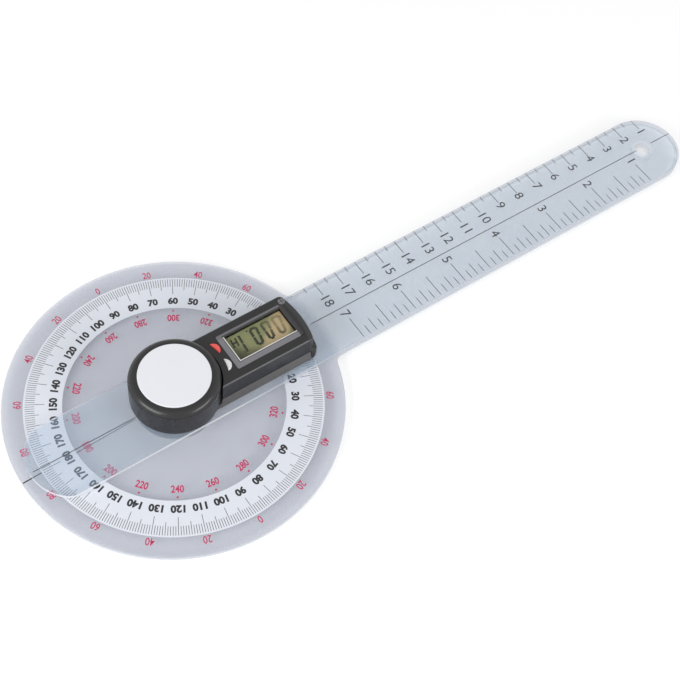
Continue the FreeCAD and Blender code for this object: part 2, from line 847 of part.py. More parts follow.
def make_lower_case():
    """The tray on the arm: sloping sides, a round hub, a tunnel for the sensor board and screw posts."""
    body = new_body("lower_case", ARM_TOP)
    hub_rise = HUB_TOP - ARM_TOP
    section_pad(body, ZERO, (FOOT_HALF, ZERO), (SEAM_HALF, S["seam_rise"]), CASE_END)
    hub = new_sketch(body, "XY")
    draw_circle(hub, (ZERO, ZERO), HUB_RADIUS)
    add_pad(body, hub, hub_rise)
    cut_holes(body, hub_rise, [(ZERO, ZERO)], KNOB_ROOM, S["seam_rise"])
    cut_holes(body, S["case_floor"], [(ZERO, ZERO)], HUB_ROOM, hub_rise)
    cavity_start = leg(INNER_ROOM, CAVITY_HALF)
    far = CASE_END + S["overrun"]
    cavity = new_sketch(body, "XY", S["case_floor"])
    draw_outline(cavity, [
        (far, -CAVITY_HALF), (far, CAVITY_HALF), (cavity_start, CAVITY_HALF),
        (cavity_start, -CAVITY_HALF, INNER_ROOM, RIGHT, False),
    ])
    add_cut(body, cavity, S["seam_rise"])
    tunnel = new_sketch(body, "YZ", S["sleeve_radius"])
    half = NECK_HALF + S["tunnel_gap"]
    draw_box(tunnel, (-half, S["case_floor"]), (half, hub_rise))
    add_cut(body, tunnel, INNER_ROOM)
    cut_holes(body, -S["overrun"], [(ZERO, ZERO)], S["sleeve_radius"] + S["door_gap"],
              S["case_floor"] + S["overrun"] * 2)
    posts = new_sketch(body, "XY")
    for place in post_places():
        draw_circle(posts, place, S["post_radius"])
    add_pad(body, posts, S["seam_rise"])
    cut_holes(body, -S["overrun"], post_places(), S["case_screw_radius"] + S["screw_hole_gap"],
              S["seam_rise"] + S["overrun"] * 2)


def cut_roof_end(body, height, depth):
    """Trims the far end of the upper case to a shallow arc."""
    side = FOOT_HALF
    corner_x = ROOF_REACH - S["roof_end_radius"] + leg(S["roof_end_radius"], side)
    far = DOOR_REACH + S["overrun"]
    sketch = new_sketch(body, "XY", height)
    draw_outline(sketch, [
        (far, side), (corner_x, side),
        (corner_x, -side, S["roof_end_radius"], RIGHT, False), (far, -side),
    ])
    add_cut(body, sketch, depth)


def make_upper_case():
    """The cover: concave round the knob, bowed at its far end, with all its openings."""
    body = new_body("upper_case", SEAM)
    rise = CASE_TOP - SEAM
    section_pad(body, ZERO, (LOW_HALF, ZERO), (TOP_HALF, rise), DOOR_REACH)
    cut_roof_end(body, -S["overrun"], rise + S["overrun"] * 2)
    cut_holes(body, -S["overrun"], [(ZERO, ZERO)], KNOB_ROOM, rise + S["overrun"] * 2)
    trim_case_back(body, rise)
    round_upper_case(body, rise)
    hollow_upper_case(body)
    open_upper_case(body, rise)


def trim_case_back(body, rise):
    """Takes away what the square start of the section leaves behind the knob."""
    back = leg(KNOB_ROOM, TOP_HALF)
    cut_window(body, -S["overrun"], (-S["overrun"], -FOOT_HALF), (back, FOOT_HALF), rise + S["overrun"] * 2)


def round_upper_case(body, rise):
    """Rounds the far corners, then the top edge all round but at the knob."""
    end_corners = ROOF_REACH - S["roof_end_radius"] / 4

    def far_corner(middle, edge):
        box = edge.BoundBox
        return box.ZLength > rise.number / 2 and middle.x > end_corners.number

    round_edges(body, S["roof_corner"], far_corner)

    def top_edge(middle, edge):
        if not near(middle.z, CASE_TOP) or edge.BoundBox.ZLength > 1e-4:
            return False
        return math.hypot(middle.x, middle.y) > KNOB_ROOM.number + 1e-3

    round_edges(body, S["case_edge"], top_edge)


def hollow_upper_case(body):
    """Cuts the inner room and the room for the battery door, and leaves the screw posts."""
    start = leg(INNER_ROOM, CAVITY_HALF)
    depth = ROOF_FOOT - SEAM
    room = new_sketch(body, "XY", -S["overrun"])
    draw_outline(room, [
        (CAVITY_END, -CAVITY_HALF), (CAVITY_END, CAVITY_HALF), (start, CAVITY_HALF),
        (start, -CAVITY_HALF, INNER_ROOM, RIGHT, False),
    ])
    add_cut(body, room, depth + S["overrun"])
    door_depth = DOOR_ROOM - SEAM + S["overrun"]
    far = DOOR_REACH + S["overrun"]
    cut_window(body, -S["overrun"], (CASE_END, -FOOT_HALF), (far, FOOT_HALF), door_depth)
    inward = CAVITY_END - S["overrun"]
    cut_window(body, -S["overrun"], (inward, -CAVITY_HALF), (far, CAVITY_HALF), door_depth)
    posts = new_sketch(body, "XY")
    for place in post_places():
        draw_circle(posts, place, S["post_radius"])
    add_pad(body, posts, depth + S["overrun"] / 2)
    cut_holes(body, -S["overrun"], post_places(), S["case_screw_radius"], depth + S["overrun"])


def open_upper_case(body, rise):
    """Cuts the display window, the two button openings and the corner screw's seat."""
    gap = S["bezel_gap"]
    half = BEZEL_HALF + gap
    roof_foot = ROOF_FOOT - SEAM - S["overrun"] / 2
    through = S["case_roof"] + S["overrun"] * 2
    low = (BEZEL_START - gap, -half)
    high = (BEZEL_END + gap, half)
    cut_window(body, BEZEL_FOOT - SEAM, low, high, S["bezel_thick"] + S["overrun"])
    cut_window(body, roof_foot, (LCD_START - gap, -LCD_HALF - gap), (CAVITY_END, LCD_HALF + gap), through)
    for side in (LEFT, RIGHT):
        sketch = new_sketch(body, "XY", roof_foot)
        draw_outline(sketch, button_corners(side, S["button_gap"]))
        add_cut(body, sketch, through)
    place = tray_screw_place()
    seat_foot = rise - S["tray_screw_sink"] - S["tray_screw_head_thick"]
    cut_holes(body, ZERO, [place], S["tray_screw_radius"] + S["screw_hole_gap"], rise)
    cut_holes(body, seat_foot, [place], S["tray_screw_head"] + S["screw_hole_gap"],
              S["tray_screw_head_thick"] + S["overrun"])


def tray_screw_place():
    """The corner screw, over the battery door."""
    return (TRAY_SCREW_REACH, TRAY_SCREW_SPREAD)


def make_encoder_board():
    """The sensor board: a ring in the hub with a neck into the case."""
    body = new_body("encoder_board", FLOOR_TOP)
    outer = HUB_ROOM - S["board_gap"]
    meet = leg(outer, NECK_HALF)
    corners = [
        (NECK_END, -NECK_HALF), (NECK_END, NECK_HALF), (meet, NECK_HALF),
        (meet, -NECK_HALF, outer, LEFT, True),
    ]
    inner = S["sleeve_radius"] + S["board_gap"] * 2
    plate_outline(body, corners, [((ZERO, ZERO), inner)], S["board_thick"])


def make_main_board():
    """The board under the display, cut round the knob and round the screw posts."""
    body = new_body("main_board", BOARD_FOOT)
    start = leg(BOARD_ROUND, BOARD_HALF)
    end = CAVITY_END - S["main_board_gap"]
    corners = [
        (end, -BOARD_HALF), (end, BOARD_HALF), (start, BOARD_HALF),
        (start, -BOARD_HALF, BOARD_ROUND, RIGHT, False),
    ]
    plate_outline(body, corners, [], S["board_thick"])
    cut_holes(body, -S["overrun"], post_places(), S["post_radius"] + S["board_gap"],
              S["board_thick"] + S["overrun"] * 2)


def box_body(label, height, low, high, rise):
    """A plain block."""
    body = new_body(label, height)
    sketch = new_sketch(body, "XY")
    draw_box(sketch, low, high)
    add_pad(body, sketch, rise)
    return body


def make_board_connector():
    """The pin block between the two boards."""
    start, half = NECK_END - S["connector_setback"], NECK_HALF - S["connector_inset"]
    box_body("board_connector", HUB_TOP, (start, -half), (start + S["connector_length"], half),
             BOARD_FOOT - HUB_TOP)


def make_controller_blob():
    """The domed drop of resin over the chip."""
    radius = ZEBRA_NEAR - S["blob_gap"]
    body = turned_body("controller_blob", BOARD_TOP, [
        (ZERO, ZERO), (radius, ZERO), (radius / 2, S["blob_rise"]), (ZERO, S["blob_rise"]),
    ])
    bind(body, "Placement.Base.x", (LCD_START + LCD_END) / 2)


def button_mid(side):
    """The middle of a button's inner arc, as shares of its radius along X and Y."""
    angle = math.radians(BUTTON_ANGLE * side)
    return math.cos(angle), math.sin(angle)


def make_button_switches():
    """Two small switches on the main board under the buttons."""
    members = []
    reach = BOARD_ROUND + S["switch_width"] / 2 + S["switch_edge_gap"]
    for number, side in enumerate((LEFT, RIGHT), start=1):
        along, across = button_mid(side)
        switch = doc.addObject("Part::Box", f"switch_{number}")
        bind(switch, "Length", S["switch_width"])
        bind(switch, "Width", S["switch_length"])
        bind(switch, "Height", S["switch_rise"])
        bind(switch, "Placement.Base.x", reach * round(along, 9) - S["switch_width"] / 2)
        bind(switch, "Placement.Base.y", reach * round(across, 9) - S["switch_length"] / 2)
        bind(switch, "Placement.Base.z", BOARD_TOP)
        members.append(switch)
    add_group("button_switches", members)


def make_lcd_panel():
    """Two sheets of display glass, the lower one cut back for the contact strip."""
    body = new_body("lcd_panel", LCD_FOOT)
    lower = new_sketch(body, "XY")
    draw_box(lower, (LCD_START, -LCD_HALF), (LCD_END, LCD_HALF - S["lcd_ledge"]))
    add_pad(body, lower, S["lcd_sheet"])
    upper = new_sketch(body, "XY", S["lcd_sheet"])
    draw_box(upper, (LCD_START, -LCD_HALF), (LCD_END, LCD_HALF))
    add_pad(body, upper, S["lcd_sheet"])


def make_zebra_strip():
    """The elastic strip from the board up to the ledge of the display."""
    gap = S["zebra_end_gap"]
    box_body("zebra_strip", BOARD_TOP, (LCD_START + gap, ZEBRA_NEAR), (LCD_END - gap, ZEBRA_FAR),
             LCD_MIDDLE - BOARD_TOP)


def make_display_bezel():
    """The frame round the window, wider at the knob end and the near side, with a rebate for the lens."""
    body = box_body("display_bezel", BEZEL_FOOT, (BEZEL_START, -BEZEL_HALF), (BEZEL_END, BEZEL_HALF),
                    S["bezel_thick"])

    def corner(middle, edge):
        return edge.BoundBox.ZLength > S["bezel_thick"].number / 2

    round_edges(body, S["bezel_corner"], corner)
    cut_window(body, -S["overrun"], *window_corners(ZERO), S["bezel_thick"] + S["overrun"] * 2)
    cut_window(body, -S["overrun"], *window_corners(S["lens_ledge"]),
               S["bezel_thick"] - S["lens_sink"] + S["overrun"])


def window_corners(grow):
    """The low and the high corner of the window, made larger all round by a ledge."""
    return (WINDOW_START - grow, -WINDOW_NEAR - grow), (WINDOW_END + grow, WINDOW_FAR + grow)


def make_display_lens():
    """The clear window in the rebate of the frame."""
    thick = S["bezel_thick"] - S["lens_sink"] - S["lens_gap"]
    low, high = window_corners(S["lens_ledge"])
    box_body("display_lens", BEZEL_TOP - S["lens_sink"] - thick, low, high, thick)


def bent_strip(label, height, start, rise):
    """A contact leaf: flat foot, ramp and flat tip, bent up or down by its rise."""
    body = new_body(label, height)
    sketch = new_sketch(body, "XZ", -S["contact_width"] / 2)
    thick, end = S["contact_thick"], CONTACT_END
    bend, tip = start + S["contact_foot"], end - S["contact_tip"]
    draw_outline(sketch, [
        (start, ZERO), (bend, ZERO), (tip, rise), (end, rise),
        (end, rise + thick), (tip, rise + thick), (bend, thick), (start, thick),
    ])
    return add_pad(body, sketch, S["contact_width"])


def make_contacts():
    """The two leaves, one on the floor of the case and one under the main board."""
    gap = S["contact_gap"] + S["contact_thick"]
    bent_strip("negative_contact", FLOOR_TOP, NECK_END + S["negative_gap"], CELL_FOOT - gap - FLOOR_TOP)
    leaf_foot = BOARD_FOOT - S["contact_thick"]
    bent_strip("positive_contact", leaf_foot, CONTACT_END - S["positive_length"],
               CELL_TOP + S["contact_gap"] - leaf_foot)


def make_case_screws():
    """Two screws from the underside of the arm into the posts of the upper case."""
    foot = ARM_FOOT + S["screw_sink"]
    length = ROOF_FOOT - S["case_screw_end"] - foot
    screws = []
    for number, place in enumerate(post_places(), start=1):
        screws.append(cheese_screw(f"case_screw_{number}", place, foot, S["case_screw_head"],
                                   S["case_screw_head_thick"], S["case_screw_radius"], length))
    add_group("case_screws", screws)


def make_tray_screw():
    """The corner screw, backed off so that its tip stands just over the battery door."""
    head_top = CASE_TOP - S["tray_screw_sink"]
    head_foot = head_top - S["tray_screw_head_thick"]
    foot = DOOR_ROOM + S["tunnel_gap"]
    shank = head_foot - foot
    body = turned_body("tray_screw", foot, [
        (ZERO, ZERO), (S["tray_screw_radius"], ZERO), (S["tray_screw_radius"], shank),
        (S["tray_screw_head"], shank), (S["tray_screw_head"], shank + S["tray_screw_head_thick"]),
        (ZERO, shank + S["tray_screw_head_thick"]),
    ])
    half = S["tray_screw_slot"] / 2
    arm = S["tray_screw_head"] - half
    depth = S["tray_screw_head_thick"] / 2
    for low, high in (((-arm, -half), (arm, half)), ((-half, -arm), (half, arm))):
        cut_window(body, shank + depth, low, high, S["overrun"])
    place = tray_screw_place()
    bind(body, "Placement.Base.x", place[0])
    bind(body, "Placement.Base.y", place[1])


def make_battery_tray():
    """The end door of the case, with the tray for the cell behind it."""
    body = new_body("battery_tray", ARM_TOP)
    tray_foot = TRAY_FOOT - ARM_TOP
    door_rise = DOOR_TOP - ARM_TOP
    door_length = DOOR_REACH - DOOR_START
    section_pad(body, DOOR_START, (case_halves(S["door_gap"]), S["door_gap"]),
                (SEAM_HALF, S["seam_rise"]), door_length)
    section_pad(body, DOOR_START, (SEAM_HALF, S["seam_rise"]), (LOW_HALF, door_rise), door_length)
    round_door(body)
    tray = new_sketch(body, "XY", tray_foot)
    draw_box(tray, (TRAY_START, -TRAY_HALF), (DOOR_START + S["door_gap"], TRAY_HALF))
    add_pad(body, tray, S["tray_floor"] + S["tray_wall_rise"])
    seat = tray_foot + S["tray_floor"]
    cut_holes(body, seat, [(CELL_REACH, ZERO)], S["cell_radius"] + S["cell_gap"], S["cell_thick"])
    slot = S["contact_width"] / 2 + S["contact_slot_gap"]
    cut_window(body, ZERO, (TRAY_START - S["overrun"], -slot),
               (CONTACT_END + S["contact_slot_gap"], slot), seat + S["overrun"] * 2)
    grip = new_sketch(body, "YZ", DOOR_REACH - S["grip_depth"])
    draw_circle(grip, (ZERO, door_rise / 2), S["grip_radius"])
    add_cut(body, grip, S["grip_depth"] + S["overrun"])


def round_door(body):
    """Rounds the far face of the door but for its lowest edge."""

    def far_edge(middle, edge):
        return near(middle.x, DOOR_REACH) and middle.z > ARM_TOP.number + S["door_gap"].number + 1e-3

    round_edges(body, S["door_round"], far_edge)


def make_coin_cell():
    """The cell: a wide can on a smaller cap."""
    radius, cap = S["cell_radius"], S["cell_radius"] - S["cell_shoulder"]
    body = turned_body("coin_cell", CELL_FOOT, [
        (ZERO, ZERO), (cap, ZERO), (cap, S["cell_step"]), (radius, S["cell_step"]),
        (radius, S["cell_thick"]), (ZERO, S["cell_thick"]),
    ])
    bind(body, "Placement.Base.x", CELL_REACH)


def button_corners(side, grow):
    """The half-moon outline of a button, made larger all round by a gap."""
    along, across = button_mid(side)
    inner = BUTTON_ARC - grow
    half = S["button_length"] / 2 + grow
    rise = S["button_bulge"] + grow * 2
    base = leg(inner, half)

    def place(reach, shift):
        return (reach * round(along, 9) - shift * round(across, 9),
                reach * round(across, 9) + shift * round(along, 9))

    bulge = inner + rise - base
    outer = (half * half + bulge * bulge) / (bulge * 2)
    return [
        place(inner + rise, ZERO) + (outer, LEFT, False),
        place(base, half) + (outer, LEFT, False),
        place(base, -half) + (inner, RIGHT, False),
    ]


def make_button(label, side):
    """A half-moon button with a hidden rim that keeps it in the case."""
    rim_foot = ROOF_FOOT - S["button_gap"] - S["button_rim_thick"]
    body = new_body(label, rim_foot)
    rim = new_sketch(body, "XY")
    draw_outline(rim, button_corners(side, S["button_rim"]))
    add_pad(body, rim, S["button_rim_thick"])
    top = new_sketch(body, "XY", S["button_rim_thick"])
    draw_outline(top, button_corners(side, ZERO))
    rise = CASE_TOP + S["button_proud"] - rim_foot - S["button_rim_thick"]
    add_pad(body, top, rise)
    level = CASE_TOP + S["button_proud"]

    def top_edge(middle, edge):
        return near(middle.z, level) and edge.BoundBox.ZLength < 1e-4

    round_edges(body, S["button_edge"], top_edge, "Chamfer")


def check_pieces():
    """Stops where any object failed or any piece is not a valid closed solid."""
    doc.recompute()
    for thing in doc.Objects:
        if "Invalid" in thing.State or "Error" in thing.State:
            raise RuntimeError(f"{thing.Name} failed: {thing.State}")
    for piece in pieces:
        if piece.Shape.isNull() or not piece.Shape.isValid() or not piece.Shape.Solids:
            raise RuntimeError(f"{piece.Label} is not a valid solid")


def write_pieces():
    """Writes one file for each piece, and prints its volume."""
    os.makedirs("parts", exist_ok=True)
    for piece in pieces:
        piece.Shape.exportStep(os.path.join("parts", piece.Label + ".step"))
        print(piece.Label, len(piece.Shape.Solids), round(piece.Shape.Volume, 2))


make_protractor_plate()
make_base_flange()
make_base_screws()
make_clamp_ring()
make_slip_washer()
make_pivot_sleeve()
make_pivot_bolt()
make_encoder_rotor()
make_rotor_clip()
make_moving_arm_plate()
make_lower_case()
make_upper_case()
make_encoder_cover()
make_friction_washer()
make_encoder_board()
make_board_connector()
make_main_board()
make_controller_blob()
make_button_switches()
make_lcd_panel()
make_zebra_strip()
make_display_bezel()
make_display_lens()
make_contacts()
make_case_screws()
make_tray_screw()
make_lock_knob()
make_knob_insert()
make_knob_face()
make_button("red_button", LEFT)
make_button("white_button", RIGHT)
make_battery_tray()
make_coin_cell()
check_pieces()
write_pieces()
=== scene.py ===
"""Dresses a clear angle finder: its printed scales, readout, knob and finishes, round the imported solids."""
import math
from functools import partial

import bmesh
import bpy
from bpy.props import FloatProperty, FloatVectorProperty, IntProperty, PointerProperty
from mathutils import Matrix, Vector


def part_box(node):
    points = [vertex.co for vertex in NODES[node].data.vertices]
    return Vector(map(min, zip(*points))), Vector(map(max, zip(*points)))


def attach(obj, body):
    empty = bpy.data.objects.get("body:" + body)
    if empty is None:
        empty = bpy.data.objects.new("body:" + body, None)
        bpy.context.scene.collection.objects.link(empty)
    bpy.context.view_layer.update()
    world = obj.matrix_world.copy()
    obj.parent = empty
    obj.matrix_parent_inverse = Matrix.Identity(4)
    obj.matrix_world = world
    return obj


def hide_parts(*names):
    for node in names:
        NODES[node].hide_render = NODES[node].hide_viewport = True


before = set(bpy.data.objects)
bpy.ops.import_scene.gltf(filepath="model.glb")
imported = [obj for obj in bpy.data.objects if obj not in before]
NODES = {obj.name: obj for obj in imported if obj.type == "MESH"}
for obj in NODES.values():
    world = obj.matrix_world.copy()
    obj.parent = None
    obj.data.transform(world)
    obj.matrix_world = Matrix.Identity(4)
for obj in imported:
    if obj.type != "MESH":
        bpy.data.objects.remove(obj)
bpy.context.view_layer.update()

bl_info = {
    "name": "Angle finder with arms",
    "version": (1, 0, 0),
    "blender": (4, 5, 0),
    "location": "View3D > Sidebar > Angle finder",
    "description": "Prints, readout, knob and finishes for the packed angle finder",
    "category": "Object",
}

MM = 0.001
INCH = 25.4 * MM
DISC_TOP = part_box("protractor_plate")[1].z
DISC_RADIUS = -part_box("protractor_plate")[0].x
ARM_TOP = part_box("moving_arm_plate")[1].z
ARM_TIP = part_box("moving_arm_plate")[1].x
ARM_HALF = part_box("moving_arm_plate")[1].y
HOLE_REACH = ARM_TIP - ARM_HALF
INCH_START = ARM_TIP + 0.3 * MM
LCD_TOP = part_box("lcd_panel")[1].z
ROOF_ROUND = 40 * MM
SHOULDER_STEPS = 14
RING_STEPS = 240
DOT_STEPS = 16
POINT_STEPS = 14
RIBS = 6
WINDOW = (25.5 * MM, 50.7 * MM, -5.35 * MM, 6.6 * MM)
SOFTBOX_REACH = 0.9
# Name, direction from the target, width and height, strength
SOFTBOXES = (("left_softbox", (-0.86, -0.1, 0.47), (0.62, 0.36), 6.8),
             ("front_softbox", (0.365, -0.836, 0.41), (0.6, 0.2), 8.8))


def length(name, description, default):
    """A size in millimetres, kept in metres."""
    return FloatProperty(name=name, description=description, default=default * MM, unit="LENGTH",
                         subtype="DISTANCE", precision=5)


def angle(name, description, default):
    return FloatProperty(name=name, description=description, default=math.radians(default),
                         unit="ROTATION", subtype="ANGLE")


def colour(name, description, default):
    return FloatVectorProperty(name=name, description=description, default=default, size=3, min=0, max=1,
                               subtype="COLOR")


def share(name, description, default):
    return FloatProperty(name=name, description=description, default=default, min=0, max=1, subtype="FACTOR")


class StageSettings(bpy.types.PropertyGroup):
    """Camera, floor and lights."""
    azimuth: angle("Azimuth", "Turn of the camera round the object", -41.77)
    elevation: angle("Elevation", "Height of the camera over the floor", 56.76)
    roll: angle("Roll", "Turn of the camera about its own line of sight", 8.27)
    distance: length("Distance", "From the target to the camera", 550.01)
    target: FloatVectorProperty(name="Target", description="The point the camera looks at",
                                default=(0.06851, -0.01079, 0.003), subtype="XYZ", unit="LENGTH")
    lens: FloatProperty(name="Lens", description="Focal length on a 36 mm sensor", default=74.188,
                        unit="CAMERA")
    floor_colour: colour("Floor", "Colour of the floor", (0.76, 0.76, 0.76))
    floor_glow: share("Floor glow", "What the floor adds where the camera sees it", 0.35)
    sky: FloatProperty(name="Sky", description="Strength of the even light from all round", default=0.56)


class PlateSettings(bpy.types.PropertyGroup):
    """The two clear plates."""
    disc_tint: colour("Disc tint", "Colour of the disc and the fixed arm", (0.215, 0.262, 0.405))
    arm_tint: colour("Arm tint", "Colour of the moving arm", (0.485, 0.64, 0.82))
    # Painted highlights: the cut edges and, paler still, the edges of the arm's tail and the holes' walls take
    # light tints that stand in for the light they catch
    edge_tint: colour("Edge tint", "Colour of the cut edges", (0.56, 0.60, 0.68))
    bright_tint: colour("Bright tint", "Colour of the edges of the arm's tail and of the holes",
                        (0.92, 0.94, 0.97))
    disc_veil: share("Disc veil", "How much one face of the disc hides", 0.243)
    reach_veil: share("Fixed arm veil", "How much one face of the fixed arm hides", 0.065)
    arm_veil: share("Moving arm veil", "How much one face of the moving arm hides", 0.20)
    tail_veil: share("Tail veil", "How much one face of the moving arm's tail hides", 0.13)
    edge_veil: share("Edge veil", "How much a cut edge hides", 0.72)
    back_veil: share("Back edge veil", "How much a cut edge on the far side hides", 0.2)
    # Painted highlight: the cut edges on the far side are tinted paler
    back_tint: colour("Back edge tint", "Colour of the cut edges on the far side", (0.70, 0.78, 0.9))
    strip_tint: colour("Strip tint", "Colour of the strip along a plate's free edge", (0.38, 0.44, 0.54))


class DialSettings(bpy.types.PropertyGroup):
    """The print on the disc."""
    print_thick: length("Print thickness", "Height of every printed layer", 0.03)
    ring_inner: length("Ring inner radius", "Inside of the pale ring", 42.1)
    ring_outer: length("Ring outer radius", "Outside of the pale ring", 56.6)
    ticks: IntProperty(name="Ticks", description="Degree ticks in a full turn", default=360)
    tick_outer: length("Tick outer radius", "Where the ticks start", 55.9)
    tick_length: length("Tick length", "Length of a one degree tick", 3.6)
    fifth_extra: length("Fifth extra", "What every fifth tick adds", 1.6)
    tenth_extra: length("Tenth extra", "What every tenth tick adds to that", 2.0)
    tick_width: length("Tick width", "Width of a degree tick", 0.17)
    number_height: length("Number height", "Height of the black numbers", 3.15)
    number_radius: length("Number radius", "Where the black numbers sit", 45.5)
    red_height: length("Red number height", "Height of the inner red numbers", 3.1)
    red_radius: length("Red number radius", "Where the inner red numbers sit", 37.4)
    rim_height: length("Rim number height", "Height of the outer red numbers", 3.05)
    rim_radius: length("Rim number radius", "Where the outer red numbers sit", 58.8)
    dot_radius: length("Dot radius", "Where the red dots sit", 40.75)
    dot_size: length("Dot size", "Radius of a red dot", 0.42)
    ring_colour: colour("Ring", "Pale ink of the ring", (0.74, 0.77, 0.84))
    black: colour("Black ink", "Ink of numbers and ticks", (0.016, 0.017, 0.02))
    red: colour("Red ink", "Ink of the red numbers", (0.53, 0.04, 0.13))


class RulerSettings(bpy.types.PropertyGroup):
    """The print on the moving arm."""
    centimetre_edge: length("Centimetre edge", "Where the centimetre ticks start", 15.9)
    centimetre_end: length("Half end", "Where a half centimetre tick ends", 13.2)
    centimetre_extra: length("Centimetre extra", "What a whole centimetre tick adds", 3.9)
    centimetre_ticks: IntProperty(name="Centimetre ticks", description="Half centimetre ticks", default=36)
    inch_edge: length("Inch edge", "Where the inch ticks start", 15.4)
    inch_end: length("Eighth end", "Where an eighth inch tick ends", 11.4)
    quarter_extra: length("Quarter extra", "What a quarter inch tick adds", 2.1)
    half_extra: length("Half extra", "What a half or whole inch tick adds to that", 3.9)
    inch_ticks: IntProperty(name="Inch ticks", description="Eighth inch ticks", default=49)
    tick_width: length("Tick width", "Width of a ruler tick", 0.26)
    number_height: length("Number height", "Height of the ruler numbers", 4.1)
    line_width: length("Line width", "Width of the centre line", 0.3)
    ink: colour("Ink", "Ink of the ruler", (0.05, 0.054, 0.062))


class KnobSettings(bpy.types.PropertyGroup):
    """The lock knob."""
    shoulder: length("Shoulder", "Radius of the round shoulder", 3.0)
    wall: length("Wall", "Thickness of the skirt", 1.9)
    roof: length("Roof", "Thickness under the face", 2.4)
    hem: length("Hem", "Bevel round the foot", 0.6)
    face_sink: length("Face sink", "Depth of the seat of the face", 0.7)
    boss: length("Boss", "Radius of the boss in the middle", 9.0)
    bore: length("Bore", "Radius of the bush's hole", 4.0)
    boss_foot: length("Boss foot", "Height of the boss over the knob's foot", 4.25)
    rib: length("Rib", "Thickness of a rib", 1.2)
    segments: IntProperty(name="Segments", description="Steps round the knob", default=144)
    black: colour("Black", "Colour of the moulded black parts", (0.012, 0.012, 0.0135))
    # Painted sheen: the upright walls are made lighter than the tops, standing in for light on them
    wall_tint: colour("Wall", "Colour of the upright walls of the black parts", (0.019, 0.018, 0.019))


class DisplaySettings(bpy.types.PropertyGroup):
    """The readout."""
    stroke: length("Stroke", "Width of a digit's segment", 1.12)
    gap: length("Gap", "Space between two segments", 0.05)
    border: length("Border", "Width of the dark line round the display", 0.3)
    # Painted highlight: a pale strip on the hub and near sides of the opening
    bead: length("Bead", "Width of the bright line round the opening", 0.36)
    olive: colour("Olive", "Display colour at the hub end", (0.25, 0.265, 0.118))
    tan: colour("Tan", "Display colour at the far end", (0.54, 0.42, 0.225))
    ink: colour("Segment ink", "Colour of a switched segment", (0.028, 0.032, 0.014))
    bezel: colour("Bezel", "Colour of the frame round the display", (0.183, 0.182, 0.198))


# Nodes and meshes

def add_node(tree, kind, inputs=None, **settings):
    """A node with its settings, its values and what is wired to it."""
    made = tree.nodes.new(kind)
    for key, value in settings.items():
        setattr(made, key, value)
    for key, value in (inputs or {}).items():
        if isinstance(value, bpy.types.NodeSocket):
            tree.links.new(value, made.inputs[key])
        else:
            made.inputs[key].default_value = value
    return made


def tree_of(*values):
    """The node tree of the first value that is a socket."""
    return next(value.id_data for value in values if isinstance(value, bpy.types.NodeSocket))


def calculate(operation, *values):
    inputs = dict(enumerate(values))
    return add_node(tree_of(*values), "ShaderNodeMath", inputs, operation=operation).outputs[0]


plus, minus, times = (partial(calculate, operation) for operation in ("ADD", "SUBTRACT", "MULTIPLY"))
times_plus, larger = (partial(calculate, operation) for operation in ("MULTIPLY_ADD", "MAXIMUM"))


def remap(value, low, high, new_low=0.0, new_high=1.0):
    return add_node(value.id_data, "ShaderNodeMapRange", {0: value, 1: low, 2: high, 3: new_low, 4: new_high},
                    interpolation_type="SMOOTHSTEP").outputs[0]


def between(factor, first, second):
    """A number between two numbers."""
    return add_node(factor.id_data, "ShaderNodeMapRange", {0: factor, 3: first, 4: second}).outputs[0]


def blend(factor, first, second):
    """A colour between two colours."""
    return add_node(factor.id_data, "ShaderNodeMix", {0: factor, 6: with_alpha(first), 7: with_alpha(second)},
                    data_type="RGBA").outputs[2]


def with_alpha(value):
    return value if isinstance(value, bpy.types.NodeSocket) else (*value, 1.0)


def object_place(tree):
    """Where a point is on its own piece."""
    return add_node(tree, "ShaderNodeTexCoord").outputs["Object"]


def axes_of(vector):
    return add_node(vector.id_data, "ShaderNodeSeparateXYZ", {0: vector}).outputs


def combine(x, y, z=0.0):
    return add_node(tree_of(x, y, z), "ShaderNodeCombineXYZ", {0: x, 1: y, 2: z}).outputs[0]


def span(vector, other=(0.0, 0.0, 0.0)):
    """The distance between two places."""
    return add_node(vector.id_data, "ShaderNodeVectorMath", {0: vector, 1: other},
                    operation="DISTANCE").outputs["Value"]


def cloudy(place, scale, detail=3.0):
    """An even random value from nought to one."""
    return add_node(place.id_data, "ShaderNodeTexNoise",
                    {"Vector": place, "Scale": scale, "Detail": detail}).outputs[0]


def wire(shader, socket, value):
    shader.id_data.links.new(value, shader.inputs[socket])


def built_once(build):
    """Builds a shared effect the first time and finds it by its function's name after that."""
    def found(*values):
        return bpy.data.node_groups.get(build.__name__) or build(*values)
    return found


def shader_group(name, inputs, outputs):
    """An empty shared effect with named sockets."""
    group = bpy.data.node_groups.new(name, "ShaderNodeTree")
    for label, kind, default in inputs:
        socket = group.interface.new_socket(label, in_out="INPUT", socket_type="NodeSocket" + kind)
        socket.default_value = default
    for label, kind in outputs:
        group.interface.new_socket(label, in_out="OUTPUT", socket_type="NodeSocket" + kind)
    return group, group.nodes.new("NodeGroupInput").outputs, group.nodes.new("NodeGroupOutput")


@built_once
def moulded_grain():
    """Fine moulded grain with a faint cloudiness, for every plastic."""
    group, given, out = shader_group("moulded_grain", [
        ("Colour", "Color", (0.5, 0.5, 0.5, 1.0)), ("Grain", "Float", 3200.0), ("Mottle", "Float", 0.06),
        ("Roughness", "Float", 0.4),
    ], [("Colour", "Color"), ("Roughness", "Float"), ("Height", "Float")])
    place = object_place(group)
    fine = cloudy(place, given["Grain"])
    cloud = minus(cloudy(place, 90.0, 4.0), 0.5)
    lift = times_plus(cloud, given["Mottle"], 1.0)
    tinted = add_node(group, "ShaderNodeVectorMath", {0: given["Colour"], 3: lift}, operation="SCALE")
    rough = times_plus(cloud, 0.12, given["Roughness"])
    spread = times_plus(minus(fine, 0.5), 0.08, rough)
    for label, value in (("Colour", tinted.outputs[0]), ("Roughness", spread), ("Height", fine)):
        group.links.new(value, out.inputs[label])
    return group


